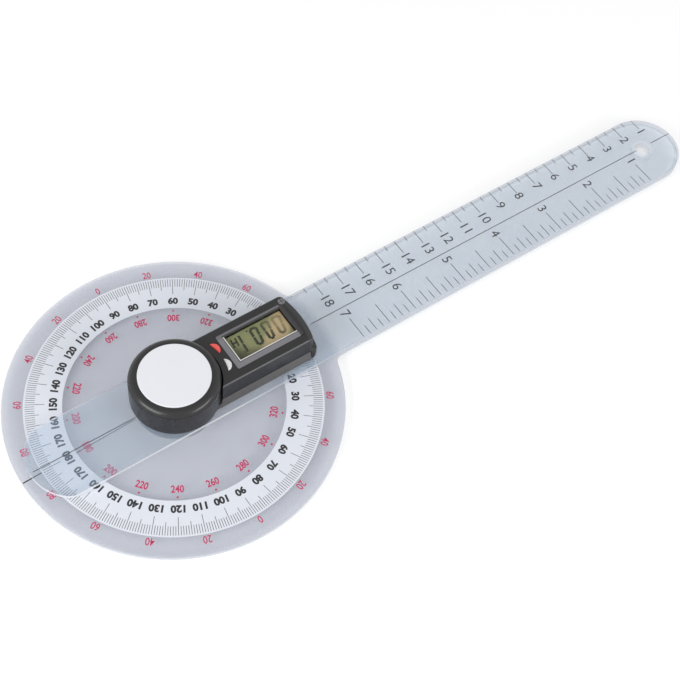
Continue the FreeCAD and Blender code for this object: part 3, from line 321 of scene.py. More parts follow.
@built_once
def cut_edges():
    """Masks of the upright faces and of the rounded edges between them and the level ones."""
    group, _, out = shader_group("cut_edges", [], [("Mask", "Float"), ("Rounding", "Float")])
    normal = add_node(group, "ShaderNodeNewGeometry").outputs["Normal"]
    upright = calculate("ABSOLUTE", axes_of(normal)[2])
    group.links.new(remap(upright, 0.9, 0.4), out.inputs[0])
    rounding = times(remap(upright, 0.15, 0.5), remap(upright, 0.985, 0.9))
    group.links.new(rounding, out.inputs[1])
    return group


@built_once
def display_tint(settings):
    """The display's olive that turns tan towards its far end, with painted shade towards the near corners at the
    hub end and at the tip end.
    """
    group, given, out = shader_group("display_tint", [
        ("Olive", "Color", (*settings.olive, 1.0)), ("Tan", "Color", (*settings.tan, 1.0)),
    ], [("Colour", "Color"), ("Reach", "Float")])
    place = object_place(group)
    axes = axes_of(place)
    slant = minus(axes[0], axes[1])
    warm = remap(slant, 38.0 * MM, 43.5 * MM)
    corner = remap(slant, 50.0 * MM, 55.0 * MM, 0.0, 0.7)
    stain = cloudy(place, 260.0, 3.0)
    uneven = times_plus(minus(stain, 0.5), 0.35, minus(warm, corner))
    mixed = blend(add_node(group, "ShaderNodeClamp", {0: uneven}).outputs[0], given[0], given[1])
    # Painted shade: darker towards the near corner at the hub end and towards the near corner at the tip end
    hub_side = times_plus(axes[1], 1.2, axes[0])
    dim = remap(hub_side, 33.5 * MM, 22.0 * MM, 1.0, 0.25)
    tip_side = times(dim, remap(slant, 51.0 * MM, 56.0 * MM, 1.0, 0.45))
    shaded = add_node(group, "ShaderNodeVectorMath", {0: mixed, 3: tip_side}, operation="SCALE").outputs[0]
    group.links.new(shaded, out.inputs[0])
    fade = times_plus(axes[1], 0.9, axes[0])
    group.links.new(remap(fade, 37.0 * MM, 52.0 * MM), out.inputs[1])
    return group


def new_material(name, roughness=0.5, **constants):
    """A material with its Principled shader; the constants are set on the shader's own sockets."""
    material = bpy.data.materials.new(name)
    material.use_nodes = True
    tree = material.node_tree
    shader = tree.nodes["Principled BSDF"]
    shader.inputs["Roughness"].default_value = roughness
    for key, value in constants.items():
        shader.inputs[key.replace("_", " ").title().replace("Ior", "IOR")].default_value = value
    return material, tree, shader


def plastic(name, tint, roughness=0.4, grain=3200.0, depth=0.012, mottle=0.1, wall_tint=None, edge_tint=None,
            **constants):
    """A moulded or painted surface with fine grain; upright walls may get a painted sheen and round edges a
    painted highlight, as lighter tints.
    """
    material, tree, shader = new_material(name, **constants)
    effect = add_node(tree, "ShaderNodeGroup", node_tree=moulded_grain(), name="grain")
    effect.inputs["Colour"].default_value = (*tint, 1.0)
    # Painted light: upright faces take the lighter sheen tint and rounded edges the highlight tint
    if wall_tint:
        masks = add_node(tree, "ShaderNodeGroup", node_tree=cut_edges()).outputs
        base = blend(masks[0], tuple(tint), wall_tint)
        tree.links.new(blend(masks[1], base, edge_tint or wall_tint), effect.inputs["Colour"])
    effect.inputs["Grain"].default_value = grain
    effect.inputs["Mottle"].default_value = mottle
    effect.inputs["Roughness"].default_value = roughness
    bump = add_node(tree, "ShaderNodeBump", {"Height": effect.outputs["Height"], "Distance": depth * MM})
    wire(shader, "Base Color", effect.outputs["Colour"])
    wire(shader, "Roughness", effect.outputs["Roughness"])
    wire(shader, "Normal", bump.outputs[0])
    return material


def metal(name, tint, roughness, stretch=(1, 1, 1), grain=1500.0):
    """Bare metal with fine tool marks."""
    material, tree, shader = new_material(name, metallic=1.0)
    place = object_place(tree)
    marks = add_node(tree, "ShaderNodeMapping", {"Vector": place, "Scale": stretch}).outputs[0]
    noise = cloudy(marks, grain, 4.0)
    dull = tuple(channel * 0.8 for channel in tint)
    wire(shader, "Base Color", blend(noise, dull, tint))
    wire(shader, "Roughness", times_plus(noise, 0.16, roughness - 0.08))
    bump = add_node(tree, "ShaderNodeBump", {"Height": noise, "Distance": 0.004 * MM})
    wire(shader, "Normal", bump.outputs[0])
    return material


def dress(material, *names):
    """Gives CAD nodes a material, in the slots that they have."""
    for name in names:
        for place in NODES[name].material_slots:
            place.material = material


def finish_piece(name, work, material, body, smooth_angle=None):
    """Makes a bmesh a piece at the origin that rides on a body."""
    bmesh.ops.recalc_face_normals(work, faces=work.faces)
    mesh = bpy.data.meshes.new(name)
    work.to_mesh(mesh)
    work.free()
    return place_piece(name, mesh, material, body, smooth_angle)


def place_piece(name, mesh, material, body, smooth_angle=None):
    mesh.materials.clear()
    mesh.materials.append(material)
    if smooth_angle:
        mesh.polygons.foreach_set("use_smooth", [True] * len(mesh.polygons))
        mesh.set_sharp_from_angle(angle=math.radians(smooth_angle))
    piece = bpy.data.objects.new(name, mesh)
    bpy.context.scene.collection.objects.link(piece)
    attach(piece, body)
    return piece


def add_outline(work, outline, low, high):
    """A closed solid with straight walls over a flat outline."""
    lower = [work.verts.new((x, y, low)) for x, y in outline]
    upper = [work.verts.new((x, y, high)) for x, y in outline]
    work.faces.new(lower)
    work.faces.new(upper)
    for here in range(len(outline)):
        after = (here + 1) % len(outline)
        work.faces.new((lower[here], lower[after], upper[after], upper[here]))


def round_outline(x, y, radius, steps):
    turns = (math.tau * step / steps for step in range(steps))
    return [(x + radius * math.cos(turn), y + radius * math.sin(turn)) for turn in turns]


def add_box(work, x_range, y_range, z_range):
    (west, east), (south, north) = x_range, y_range
    add_outline(work, [(west, south), (east, south), (east, north), (west, north)], *z_range)


def add_turned(work, profile, segments):
    """A ring-shaped solid: a closed profile of (radius, height) turned about the pivot axis."""
    rings = []
    for radius, height in profile:
        rings.append([work.verts.new((x, y, height)) for x, y in round_outline(0.0, 0.0, radius, segments)])
    for here, ring in enumerate(rings):
        other = rings[(here + 1) % len(rings)]
        for step in range(segments):
            after = (step + 1) % segments
            work.faces.new((ring[step], ring[after], other[after], other[step]))


def add_frame(work, outer, inner, low, high):
    """A flat rectangular frame between two boxes given as (x low, x high, y low, y high)."""
    corners = []
    for west, east, south, north in (outer, inner):
        for level in (low, high):
            corners.append([work.verts.new((x, y, level)) for x, y in
                            ((west, south), (east, south), (east, north), (west, north))])
    out_low, out_high, in_low, in_high = corners
    for here in range(4):
        after = (here + 1) % 4
        for first, second in ((out_low, out_high), (out_high, in_high), (in_high, in_low), (in_low, out_low)):
            work.faces.new((first[here], first[after], second[after], second[here]))


def number_mesh(text, height, squeeze, weight, thick):
    """A number as a thin closed solid that stands on z = 0, centred, its top towards +Y."""
    curve = bpy.data.curves.new("number", "FONT")
    curve.body, curve.size, curve.offset, curve.extrude = text, 1.0, weight, 0.1
    curve.resolution_u = 3
    carrier = bpy.data.objects.new("number", curve)
    bpy.context.scene.collection.objects.link(carrier)
    graph = bpy.context.evaluated_depsgraph_get()
    mesh = bpy.data.meshes.new_from_object(carrier.evaluated_get(graph))
    bpy.data.objects.remove(carrier)
    bpy.data.curves.remove(curve)
    corners = [vertex.co for vertex in mesh.vertices]
    low = Vector(min(corner[axis] for corner in corners) for axis in range(3))
    high = Vector(max(corner[axis] for corner in corners) for axis in range(3))
    scale = height / (high.y - low.y)
    middle = Vector(((low.x + high.x) / 2, (low.y + high.y) / 2, low.z))
    mesh.transform(Matrix.Diagonal((scale * squeeze, scale, thick / (high.z - low.z), 1))
                   @ Matrix.Translation(-middle))
    return mesh


def add_number(work, mesh, x, y, z, turn):
    """Sets a copy of a number's mesh in its place."""
    placed = mesh.copy()
    placed.transform(Matrix.Translation((x, y, z)) @ Matrix.Rotation(turn, 4, "Z"))
    work.from_mesh(placed)
    bpy.data.meshes.remove(placed)


def close_seams(work):
    """Joins each number's faces to its walls."""
    bmesh.ops.remove_doubles(work, verts=work.verts, dist=0.002 * MM)


def round_numbers(work, numbers, height, radius, level, thick, squeeze, weight, tops_out=True):
    """Numbers at (number, degrees) on a circle, with their tops outward or inward."""
    for number, degrees in numbers:
        mesh = number_mesh(str(number), height, squeeze, weight, thick)
        turn = math.radians(degrees)
        add_number(work, mesh, radius * math.cos(turn), radius * math.sin(turn), level,
                   turn + (-math.pi / 2 if tops_out else math.pi / 2))
        bpy.data.meshes.remove(mesh)


# Repeated ticks

def tick_tree(name, *sizes):
    """A geometry tree for repeated ticks, with its own sizes among its named inputs."""
    tree = bpy.data.node_groups.new(name, "GeometryNodeTree")
    tree.interface.new_socket("Geometry", in_out="OUTPUT", socket_type="NodeSocketGeometry")
    kinds = {"Ticks": "Int", "Ink": "Material"}
    for label in ("Ticks", *sizes, "Width", "Thickness", "Level", "Ink"):
        tree.interface.new_socket(label, in_out="INPUT", socket_type="NodeSocket" + kinds.get(label, "Float"))
    return tree, tree.nodes.new("NodeGroupInput").outputs, tree.nodes.new("NodeGroupOutput")


def every(index, count):
    """One where the index is a multiple of the count, otherwise nought."""
    return calculate("LESS_THAN", calculate("MODULO", index, count), 0.5)


def end_tick_tree(tree, given, out, position, scale, turn):
    """Sets one small block at each point and gives all of them the ink."""
    points = add_node(tree, "GeometryNodePoints", {"Count": given["Ticks"], "Position": position}).outputs[0]
    block = add_node(tree, "GeometryNodeMeshCube", {"Size": (1.0, 1.0, 1.0)}).outputs[0]
    ticks = add_node(tree, "GeometryNodeInstanceOnPoints",
                     {"Points": points, "Instance": block, "Scale": scale, "Rotation": turn}).outputs[0]
    real = add_node(tree, "GeometryNodeRealizeInstances", {0: ticks}).outputs[0]
    inked = add_node(tree, "GeometryNodeSetMaterial", {"Geometry": real, "Material": given["Ink"]}).outputs[0]
    tree.links.new(inked, out.inputs[0])
    return tree


def round_scale_tree():
    """Ticks round a circle, longer at every fifth and tenth."""
    tree, given, out = tick_tree("round_scale", "Outer Radius", "Length", "Fifth Extra", "Tenth Extra")
    index = add_node(tree, "GeometryNodeInputIndex").outputs[0]
    turn = times(index, calculate("DIVIDE", math.tau, given["Ticks"]))
    fifth = times_plus(every(index, 5), given["Fifth Extra"], given["Length"])
    reach = times_plus(every(index, 10), given["Tenth Extra"], fifth)
    middle = times_plus(reach, -0.5, given["Outer Radius"])
    height = times_plus(given["Thickness"], 0.5, given["Level"])
    along, across = (times(middle, calculate(part, turn)) for part in ("COSINE", "SINE"))
    position = combine(along, across, height)
    scale = combine(reach, given["Width"], given["Thickness"])
    return end_tick_tree(tree, given, out, position, scale, combine(0.0, 0.0, turn))


def straight_scale_tree():
    """Ticks along an arm from its edge inward, inside the round tip, longer at every second and fourth."""
    tree, given, out = tick_tree("straight_scale", "Start", "Pitch", "Edge", "Inner End", "Second Extra",
                                 "Fourth Extra", "Side", "Tip Middle", "Tip Radius")
    index = add_node(tree, "GeometryNodeInputIndex").outputs[0]
    along = minus(given["Start"], times(index, given["Pitch"]))
    past = larger(minus(along, given["Tip Middle"]), 0.0)
    square = minus(times(given["Tip Radius"], given["Tip Radius"]), times(past, past))
    outer = calculate("MINIMUM", given["Edge"], calculate("SQRT", square))
    second = times(every(index, 2), given["Second Extra"])
    extra = times_plus(every(index, 4), given["Fourth Extra"], second)
    inner = minus(given["Inner End"], extra)
    middle = times(plus(outer, inner), 0.5)
    height = times_plus(given["Thickness"], 0.5, given["Level"])
    position = combine(along, times(middle, given["Side"]), height)
    scale = combine(given["Width"], minus(outer, inner), given["Thickness"])
    return end_tick_tree(tree, given, out, position, scale, (0.0, 0.0, 0.0))


def grow(name, tree, values, material, body):
    """Runs a tick tree with its values and keeps the result as a plain mesh."""
    carrier = bpy.data.objects.new(name + "_carrier", bpy.data.meshes.new(name + "_carrier"))
    bpy.context.scene.collection.objects.link(carrier)
    modifier = carrier.modifiers.new("ticks", "NODES")
    modifier.node_group = tree
    for item in tree.interface.items_tree:
        if item.in_out == "INPUT":
            modifier[item.identifier] = material if item.name == "Ink" else values[item.name]
    graph = bpy.context.evaluated_depsgraph_get()
    mesh = bpy.data.meshes.new_from_object(carrier.evaluated_get(graph))
    carrier.modifiers.remove(modifier)
    bpy.data.objects.remove(carrier)
    if not mesh.vertices:
        raise RuntimeError(f"{name}: the tick tree made nothing")
    mesh.name = name
    return place_piece(name, mesh, material, body)


# Operators, one for each piece or group of like pieces

class StageOperator(bpy.types.Operator):
    """Sets the camera, the floor and the lights"""
    bl_idname = "finder.stage"
    bl_label = "Stage"

    def execute(self, context):
        settings = context.scene.finder_stage
        self.add_camera(context, settings)
        self.add_floor(context, settings)
        self.add_sky(context, settings)
        for name, direction, size, strength in SOFTBOXES:
            self.add_softbox(context, settings, name, direction, size, strength)
        return {"FINISHED"}

    def add_camera(self, context, settings):
        turn, rise = settings.azimuth, settings.elevation
        back = Vector((math.sin(turn) * math.cos(rise), -math.cos(turn) * math.cos(rise), math.sin(rise)))
        right = Vector((math.cos(turn), math.sin(turn), 0))
        up = back.cross(right)
        lean = Matrix.Rotation(-settings.roll, 3, "Z")
        axes = Matrix((right, up, back)).transposed() @ lean.transposed()
        data = bpy.data.cameras.new("photo_camera")
        data.lens, data.sensor_width = settings.lens, 36.0
        data.clip_start, data.clip_end = 0.01, 50.0
        camera = bpy.data.objects.new("photo_camera", data)
        place = Vector(settings.target) + back * settings.distance
        camera.matrix_world = Matrix.Translation(place) @ axes.to_4x4()
        context.scene.collection.objects.link(camera)
        context.scene.camera = camera

    def add_floor(self, context, settings):
        work = bmesh.new()
        bmesh.ops.create_grid(work, x_segments=8, y_segments=8, size=6.0)
        mesh = bpy.data.meshes.new("floor")
        work.to_mesh(mesh)
        work.free()
        mesh.transform(Matrix.Translation((0, 0, -0.1 * MM)))
        material, tree, shader = new_material("floor_paper", roughness=1.0)
        shader.inputs["Specular IOR Level"].default_value = 0.0
        place = object_place(tree)
        tooth = cloudy(place, 40.0, 2.0)
        pale = tuple(settings.floor_colour)
        wire(shader, "Base Color", blend(tooth, tuple(c * 0.995 for c in pale), pale))
        glow = times(seen_rays(tree), settings.floor_glow)
        light = add_node(tree, "ShaderNodeEmission", {"Strength": glow}).outputs[0]
        both = add_node(tree, "ShaderNodeAddShader", {0: shader.outputs[0], 1: light}).outputs[0]
        tree.links.new(both, tree.nodes["Material Output"].inputs[0])
        mesh.materials.append(material)
        floor = bpy.data.objects.new("floor", mesh)
        context.scene.collection.objects.link(floor)

    def add_sky(self, context, settings):
        world = bpy.data.worlds.new("studio")
        world.use_nodes = True
        tree = world.node_tree
        background = tree.nodes["Background"]
        background.inputs["Color"].default_value = (1.0, 1.0, 1.0, 1.0)
        wire(background, "Strength", between(seen_rays(tree), settings.sky, 1.0))
        context.scene.world = world

    def add_softbox(self, context, settings, name, direction, size, strength):
        """An even rectangular light that faces the target; the strength is what it shows in a mirror."""
        data = bpy.data.lights.new(name, "AREA")
        data.shape, data.size, data.size_y = "RECTANGLE", *size
        data.energy = strength * math.pi * size[0] * size[1]
        light = bpy.data.objects.new(name, data)
        away = Vector(direction).normalized()
        light.matrix_world = (Matrix.Translation(Vector(settings.target) + away * SOFTBOX_REACH)
                              @ away.to_track_quat("Z", "Y").to_matrix().to_4x4())
        context.scene.collection.objects.link(light)


def seen_rays(tree):
    """One for rays that show the background, in the camera, in gloss and in glass."""
    path = add_node(tree, "ShaderNodeLightPath").outputs
    return larger(larger(path["Is Camera Ray"], path["Is Glossy Ray"]), path["Is Transmission Ray"])


# What haze, the painted halo round the hole, a free edge's strip, the disc's zones of painted shade, the tail's
# edge and a hole's wall add to a veil
HAZE_VEIL, HALO_VEIL, STRIP_VEIL = 0.03, 0.12, 0.18
# Painted shade on the disc: a little less veil over most of it and more towards the rim, to even out the ring's
# shadow on the floor, and more again inside the ring, as shade of the knob and case
MIDDLE_VEIL, RIM_VEIL, INNER_VEIL = -0.015, 0.01, 0.02
TAIL_EDGE_VEIL, HOLE_VEIL = 0.26, -0.32
# How far the painted halo round the hanging hole turns a face towards the glint tint
HALO_BLEND = 0.48


class PlatesOperator(bpy.types.Operator):
    """Gives the two clear plates their milky blue finish"""
    bl_idname = "finder.plates"
    bl_label = "Clear plates"

    def execute(self, context):
        settings = context.scene.finder_plates
        dress(self.clear_plate("disc_clear", settings, settings.disc_tint, settings.disc_veil,
                               settings.reach_veil, False), "protractor_plate")
        dress(self.clear_plate("arm_clear", settings, settings.arm_tint, settings.tail_veil,
                               settings.arm_veil, True), "moving_arm_plate")
        return {"FINISHED"}

    def clear_plate(self, name, settings, tint, hub_veil, reach_veil, has_tail):
        """Clear plastic with a faint haze, cut edges painted pale as highlights, a painted pale halo round the
        hanging hole and, on the disc, zones of painted shade.
        """
        material, tree, shader = new_material(name)
        place = object_place(tree)
        along, across = axes_of(place)[:2]
        flat = combine(along, across)
        edge = add_node(tree, "ShaderNodeGroup", node_tree=cut_edges()).outputs[0]
        haze = cloudy(place, 22.0)
        to_hole, to_pivot = span(flat, (HOLE_REACH, 0.0, 0.0)), span(flat)
        # A painted pale halo round the hanging hole, standing in for light that the hole's wall refracts
        hole_halo = remap(to_hole, 5.2 * MM, 4.6 * MM)
        hole = remap(to_hole, 3.8 * MM, 3.3 * MM)
        tail = remap(along, 40 * MM, 10 * MM, 0.0, 1.0 if has_tail else 0.0)
        reach = (remap(along, 30 * MM, 62 * MM) if has_tail
                 else remap(to_pivot, DISC_RADIUS - 1 * MM, DISC_RADIUS + 5 * MM))
        past = larger(minus(along, HOLE_REACH), 0.0)
        far = remap(times_plus(past, 0.9, across), -2 * MM, 2 * MM)
        one_side = far if has_tail else minus(1.0, far)
        strip = remap(span(combine(past, across)), ARM_HALF - 1.7 * MM, ARM_HALF - 1.2 * MM)
        strip = times(one_side, times(reach, strip))
        margin = times(strip, STRIP_VEIL)
        # Painted shade on the disc, in rings round the pivot
        if not has_tail:
            outer = remap(to_pivot, DISC_RADIUS - 9 * MM, DISC_RADIUS, MIDDLE_VEIL, RIM_VEIL)
            inner = remap(to_pivot, DISC_RADIUS - 17 * MM, DISC_RADIUS - 21 * MM, 0.0, INNER_VEIL)
            margin = plus(larger(margin, outer), inner)
        clear = between(reach, hub_veil - HAZE_VEIL / 2, reach_veil - HAZE_VEIL / 2)
        body = plus(times_plus(haze, HAZE_VEIL, clear), margin)
        milky = times_plus(hole_halo, HALO_VEIL, body)
        # Painted highlights: cut edges take the edge tint, far edges the paler back tint, the tail's edges and
        # the hole's wall the glint tint, and the halo pales the face round the hanging hole
        back_veil = times_plus(tail, TAIL_EDGE_VEIL, settings.back_veil)
        solid = times_plus(hole, HOLE_VEIL, between(far, settings.edge_veil, back_veil))
        cut = blend(far, settings.edge_tint, settings.back_tint)
        cut = blend(larger(hole, tail), cut, settings.bright_tint)
        face = blend(strip, tint, settings.strip_tint)
        face = blend(times(hole_halo, HALO_BLEND), face, settings.bright_tint)
        wire(shader, "Base Color", blend(edge, face, cut))
        wire(shader, "Alpha", between(edge, milky, solid))
        wire(shader, "Roughness", remap(haze, 0.2, 0.8, 0.16, 0.3))
        return material


class DialPrintOperator(bpy.types.Operator):
    """Prints the degree ring, its ticks and its numbers on the disc"""
    bl_idname = "finder.dial_print"
    bl_label = "Dial print"

    def execute(self, context):
        settings = context.scene.finder_dial
        thick = settings.print_thick
        pale = plastic("dial_white_ink", settings.ring_colour, 0.5, 900.0, 0.002, 0.04)
        black = plastic("dial_black_ink", settings.black, 0.45, 900.0, 0.002)
        red = plastic("dial_red_ink", settings.red, 0.45, 900.0, 0.002)
        level = DISC_TOP + thick
        inside, outside = settings.ring_inner, settings.ring_outer
        work = bmesh.new()
        add_turned(work, [(inside, DISC_TOP), (outside, DISC_TOP), (outside, level), (inside, level)], RING_STEPS)
        finish_piece("dial_ring", work, pale, "root")
        grow("dial_ticks", round_scale_tree(), {
            "Ticks": settings.ticks, "Outer Radius": settings.tick_outer, "Length": settings.tick_length,
            "Fifth Extra": settings.fifth_extra, "Tenth Extra": settings.tenth_extra,
            "Width": settings.tick_width, "Thickness": thick, "Level": level}, black, "root")
        degrees = [(0, 0), (180, 180)]
        degrees += [(value, side * value) for value in range(10, 180, 10) for side in (1, -1)]
        work = bmesh.new()
        round_numbers(work, degrees, settings.number_height, settings.number_radius, level, thick, 1.0, 0.047)
        close_seams(work)
        finish_piece("dial_numbers", work, black, "root")
        work = bmesh.new()
        inner = [(360, 0), (180, 180)]
        inner += [(360 - turn, side * turn) for turn in range(40, 180, 20) for side in (1, -1)]
        round_numbers(work, inner, settings.red_height, settings.red_radius, DISC_TOP, thick, 0.78, 0.027,
                      tops_out=False)
        rim = [(abs(90 - turn), side * turn) for turn in range(30, 180, 20) for side in (1, -1)]
        round_numbers(work, rim, settings.rim_height, settings.rim_radius, DISC_TOP, thick, 0.8, 0.012)
        close_seams(work)
        self.add_dots(work, settings, inner)
        finish_piece("dial_red_numbers", work, red, "root")
        work = bmesh.new()
        # The line leans a little; start, end and half width in millimetres
        for start, end, half in (((-17.0, 0.85), (-inside / MM, -0.02), 0.12),
                                 ((-outside / MM, -0.45), (0.25 - DISC_RADIUS / MM, -0.68), 0.24)):
            add_outline(work, [(x * MM, (y + side * half) * MM) for (x, y), side in
                               ((start, -1), (end, -1), (end, 1), (start, 1))], DISC_TOP, level)
        finish_piece("dial_line", work, black, "root")
        return {"FINISHED"}

    def add_dots(self, work, settings, numbers):
        """A small round dot outside each inner red number."""
        level = DISC_TOP + settings.print_thick
        for _, degrees in numbers:
            turn = math.radians(degrees)
            x, y = settings.dot_radius * math.cos(turn), settings.dot_radius * math.sin(turn)
            add_outline(work, round_outline(x, y, settings.dot_size, DOT_STEPS), DISC_TOP, level)


class ArmPrintOperator(bpy.types.Operator):
    """Prints the centimetre and inch scales on the moving arm"""
    bl_idname = "finder.arm_print"
    bl_label = "Arm print"

    def execute(self, context):
        settings = context.scene.finder_ruler
        thick = context.scene.finder_dial.print_thick
        ink = plastic("ruler_ink", settings.ink, 0.45, 900.0, 0.002)
        tree = straight_scale_tree()
        shared = {"Tip Middle": HOLE_REACH, "Tip Radius": ARM_HALF - 0.25 * MM, "Width": settings.tick_width,
                  "Thickness": thick, "Level": ARM_TOP}
        grow("centimetre_ticks", tree, {
            **shared, "Ticks": settings.centimetre_ticks, "Start": ARM_TIP - 10 * MM, "Pitch": 5 * MM,
            "Edge": settings.centimetre_edge, "Inner End": settings.centimetre_end,
            "Second Extra": settings.centimetre_extra, "Fourth Extra": 0.0, "Side": 1.0}, ink, "moving_arm")
        grow("inch_ticks", tree, {
            **shared, "Ticks": settings.inch_ticks, "Start": INCH_START - INCH, "Pitch": INCH / 8,
            "Edge": settings.inch_edge, "Inner End": settings.inch_end,
            "Second Extra": settings.quarter_extra, "Fourth Extra": settings.half_extra, "Side": -1.0},
            ink, "moving_arm")
        work = bmesh.new()
        one_digit_row, two_digit_row, inch_row = 7.7 * MM, 5.7 * MM, -2.85 * MM
        places = [(str(value), ARM_TIP - value * 10 * MM, one_digit_row if value < 10 else two_digit_row)
                  for value in range(1, 19)]
        places += [(str(value), INCH_START - value * INCH, inch_row) for value in range(1, 8)]
        for text, x, y in places:
            mesh = number_mesh(text, settings.number_height, 1.05, 0.0, thick)
            add_number(work, mesh, x, y, ARM_TOP, -math.pi / 2)
            bpy.data.meshes.remove(mesh)
        close_seams(work)
        finish_piece("ruler_numbers", work, ink, "moving_arm")
        work = bmesh.new()
        # From the case to the hole, from the hole to the tip, and along the tail
        middle, half = 0.33 * MM, settings.line_width / 2
        stretches = ((61.9 * MM, 234.7 * MM), (242.9 * MM, ARM_TIP - 0.3 * MM), (-59.6 * MM, -17.0 * MM))
        for stretch in stretches:
            add_box(work, stretch, (middle - half, middle + half), (ARM_TOP, ARM_TOP + thick))
        finish_piece("arm_line", work, ink, "moving_arm")
        return {"FINISHED"}


class KnobOperator(bpy.types.Operator):
    """Turns the lock knob with its round shoulder and its boss"""
    bl_idname = "finder.knob"
    bl_label = "Lock knob"

    def execute(self, context):
        settings = context.scene.finder_knob
        low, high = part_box("lock_knob")
        foot, top, outer = low.z, high.z, high.x
        inner = outer - settings.wall
        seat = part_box("knob_face")[1].x + 0.1 * MM
        seat_foot = top - settings.face_sink
        ceiling = seat_foot - settings.roof
        boss_foot = foot + settings.boss_foot
        small = 0.15 * MM
        profile = [(inner, foot), (outer - settings.hem, foot), (outer, foot + settings.hem)]
        for step in range(SHOULDER_STEPS + 1):
            turn = math.pi / 2 * step / SHOULDER_STEPS
            profile.append((outer - settings.shoulder * (1 - math.cos(turn)),
                            top - settings.shoulder * (1 - math.sin(turn))))
        profile += [(seat + small, top), (seat, top - small), (seat, seat_foot), (settings.bore, seat_foot),
                    (settings.bore, boss_foot), (settings.boss, boss_foot), (settings.boss, ceiling),
                    (inner, ceiling)]
        work = bmesh.new()
        add_turned(work, profile, settings.segments)
        for step in range(RIBS):
            start = len(work.verts)
            sunk = 0.3 * MM
            add_box(work, (settings.boss - sunk, inner + sunk), (-settings.rib / 2, settings.rib / 2),
                    (boss_foot + sunk, ceiling + sunk))
            work.verts.ensure_lookup_table()
            spin = Matrix.Rotation(math.tau * step / RIBS, 3, "Z")
            bmesh.ops.rotate(work, verts=work.verts[start:], matrix=spin, cent=(0, 0, 0))
        # The knob's upright walls get the painted sheen tint
        black = plastic("knob_satin_black", settings.black, 0.28, 2600.0, 0.001, 0.03, settings.wall_tint,
                        specular_ior_level=0.42)
        knob = finish_piece("turned_knob", work, black, "lock_knob", 30)
        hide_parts("lock_knob")
        silver = plastic("face_silver_white", (0.80, 0.81, 0.85), 0.5, 1800.0, 0.002, 0.03, metallic=0.0)
        dress(silver, "knob_face")
        return {"FINISHED"}


class CaseOperator(bpy.types.Operator):
    """Gives the readout's case and its battery door their moulded black, the lower case a dull grey and the foot
    a pale finish
    """
    bl_idname = "finder.case"
    bl_label = "Case"

    def execute(self, context):
        black = context.scene.finder_knob.black
        # Painted light: the upright walls get a sheen tint and the rounded edges a highlight tint
        satin = plastic("case_satin_black", black, 0.3, 2600.0, 0.005, 0.12, wall_tint=(0.022, 0.021, 0.022),
                        edge_tint=(0.08, 0.08, 0.082), specular_ior_level=0.42)
        self.add_end_band(satin)
        dress(satin, "upper_case", "encoder_cover")
        self.add_door(satin)
        dress(plastic("case_dull_grey", (0.105, 0.1, 0.1), 0.5, 2200.0, 0.01, 0.15), "lower_case")
        dress(plastic("foot_pale", (0.8, 0.81, 0.83), 0.5, 2200.0, 0.01, 0.05), "base_flange")
        return {"FINISHED"}

    def add_end_band(self, material):
        """A painted highlight: a slightly paler band along the round end of the roof."""
        tree = material.node_tree
        place = object_place(tree)
        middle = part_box("upper_case")[1].x - ROOF_ROUND
        reach = span(combine(*axes_of(place)[:2]), (middle, 0.0, 0.0))
        band = remap(reach, ROOF_ROUND - 2.6 * MM, ROOF_ROUND - 1.6 * MM)
        target = tree.nodes["grain"].inputs["Colour"]
        base = target.links[0].from_socket
        tree.links.new(blend(band, base, (0.03, 0.03, 0.031)), target)

    def add_door(self, material):
        """The battery door; above the band it steps back to the round end of the roof."""
        work = merged_copy("battery_tray")
        band_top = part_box("lower_case")[1].z
        for height in (0.2, 0.7):  # between these the door steps back
            split(work, (0, 0, band_top + height * MM), (0, 0, 1))
        radius, corner = ROOF_ROUND, 2 * MM
        half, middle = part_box("upper_case")[1].y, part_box("upper_case")[1].x - radius
        # Slices that let the end follow its round, closer where the corner is
        for width in (0, 2.4, 4.8, 7.2, 9.4, 10.2, 10.9, 11.4, 11.75, 12.2, 12.6):
            for side in (1, -1):
                split(work, (0, side * width * MM, 0), (0, 1, 0))
        wide, reach = max(vert.co.y for vert in work.verts), max(vert.co.x for vert in work.verts)
        for vert in work.verts:
            limit, end, turn = wide, reach - radius, 1.1 * corner
            if vert.co.z > band_top + 0.5 * MM:
                limit, end, turn = half, middle, corner
            vert.co.y = max(-limit, min(limit, vert.co.y))
            past = max(0.0, abs(vert.co.y) - limit + turn)
            cut_in = turn - math.sqrt(turn ** 2 - past ** 2)
            vert.co.x = min(vert.co.x, end + math.sqrt(radius ** 2 - vert.co.y ** 2) - cut_in)
        bmesh.ops.remove_doubles(work, verts=work.verts, dist=0.001 * MM)
        door = finish_piece("stepped_door", work, material, "battery_door", 30)
        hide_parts("battery_tray")


def merged_copy(name):
    """The mesh of a CAD node with its triangles joined."""
    work = bmesh.new()
    work.from_mesh(NODES[name].data)
    bmesh.ops.remove_doubles(work, verts=work.verts, dist=0.001 * MM)
    return work


def split(work, place, normal):
    """Cuts every face along a plane and keeps both sides."""
    bmesh.ops.bisect_plane(work, geom=work.verts[:] + work.edges[:] + work.faces[:], dist=1e-7,
                           plane_co=place, plane_no=normal)


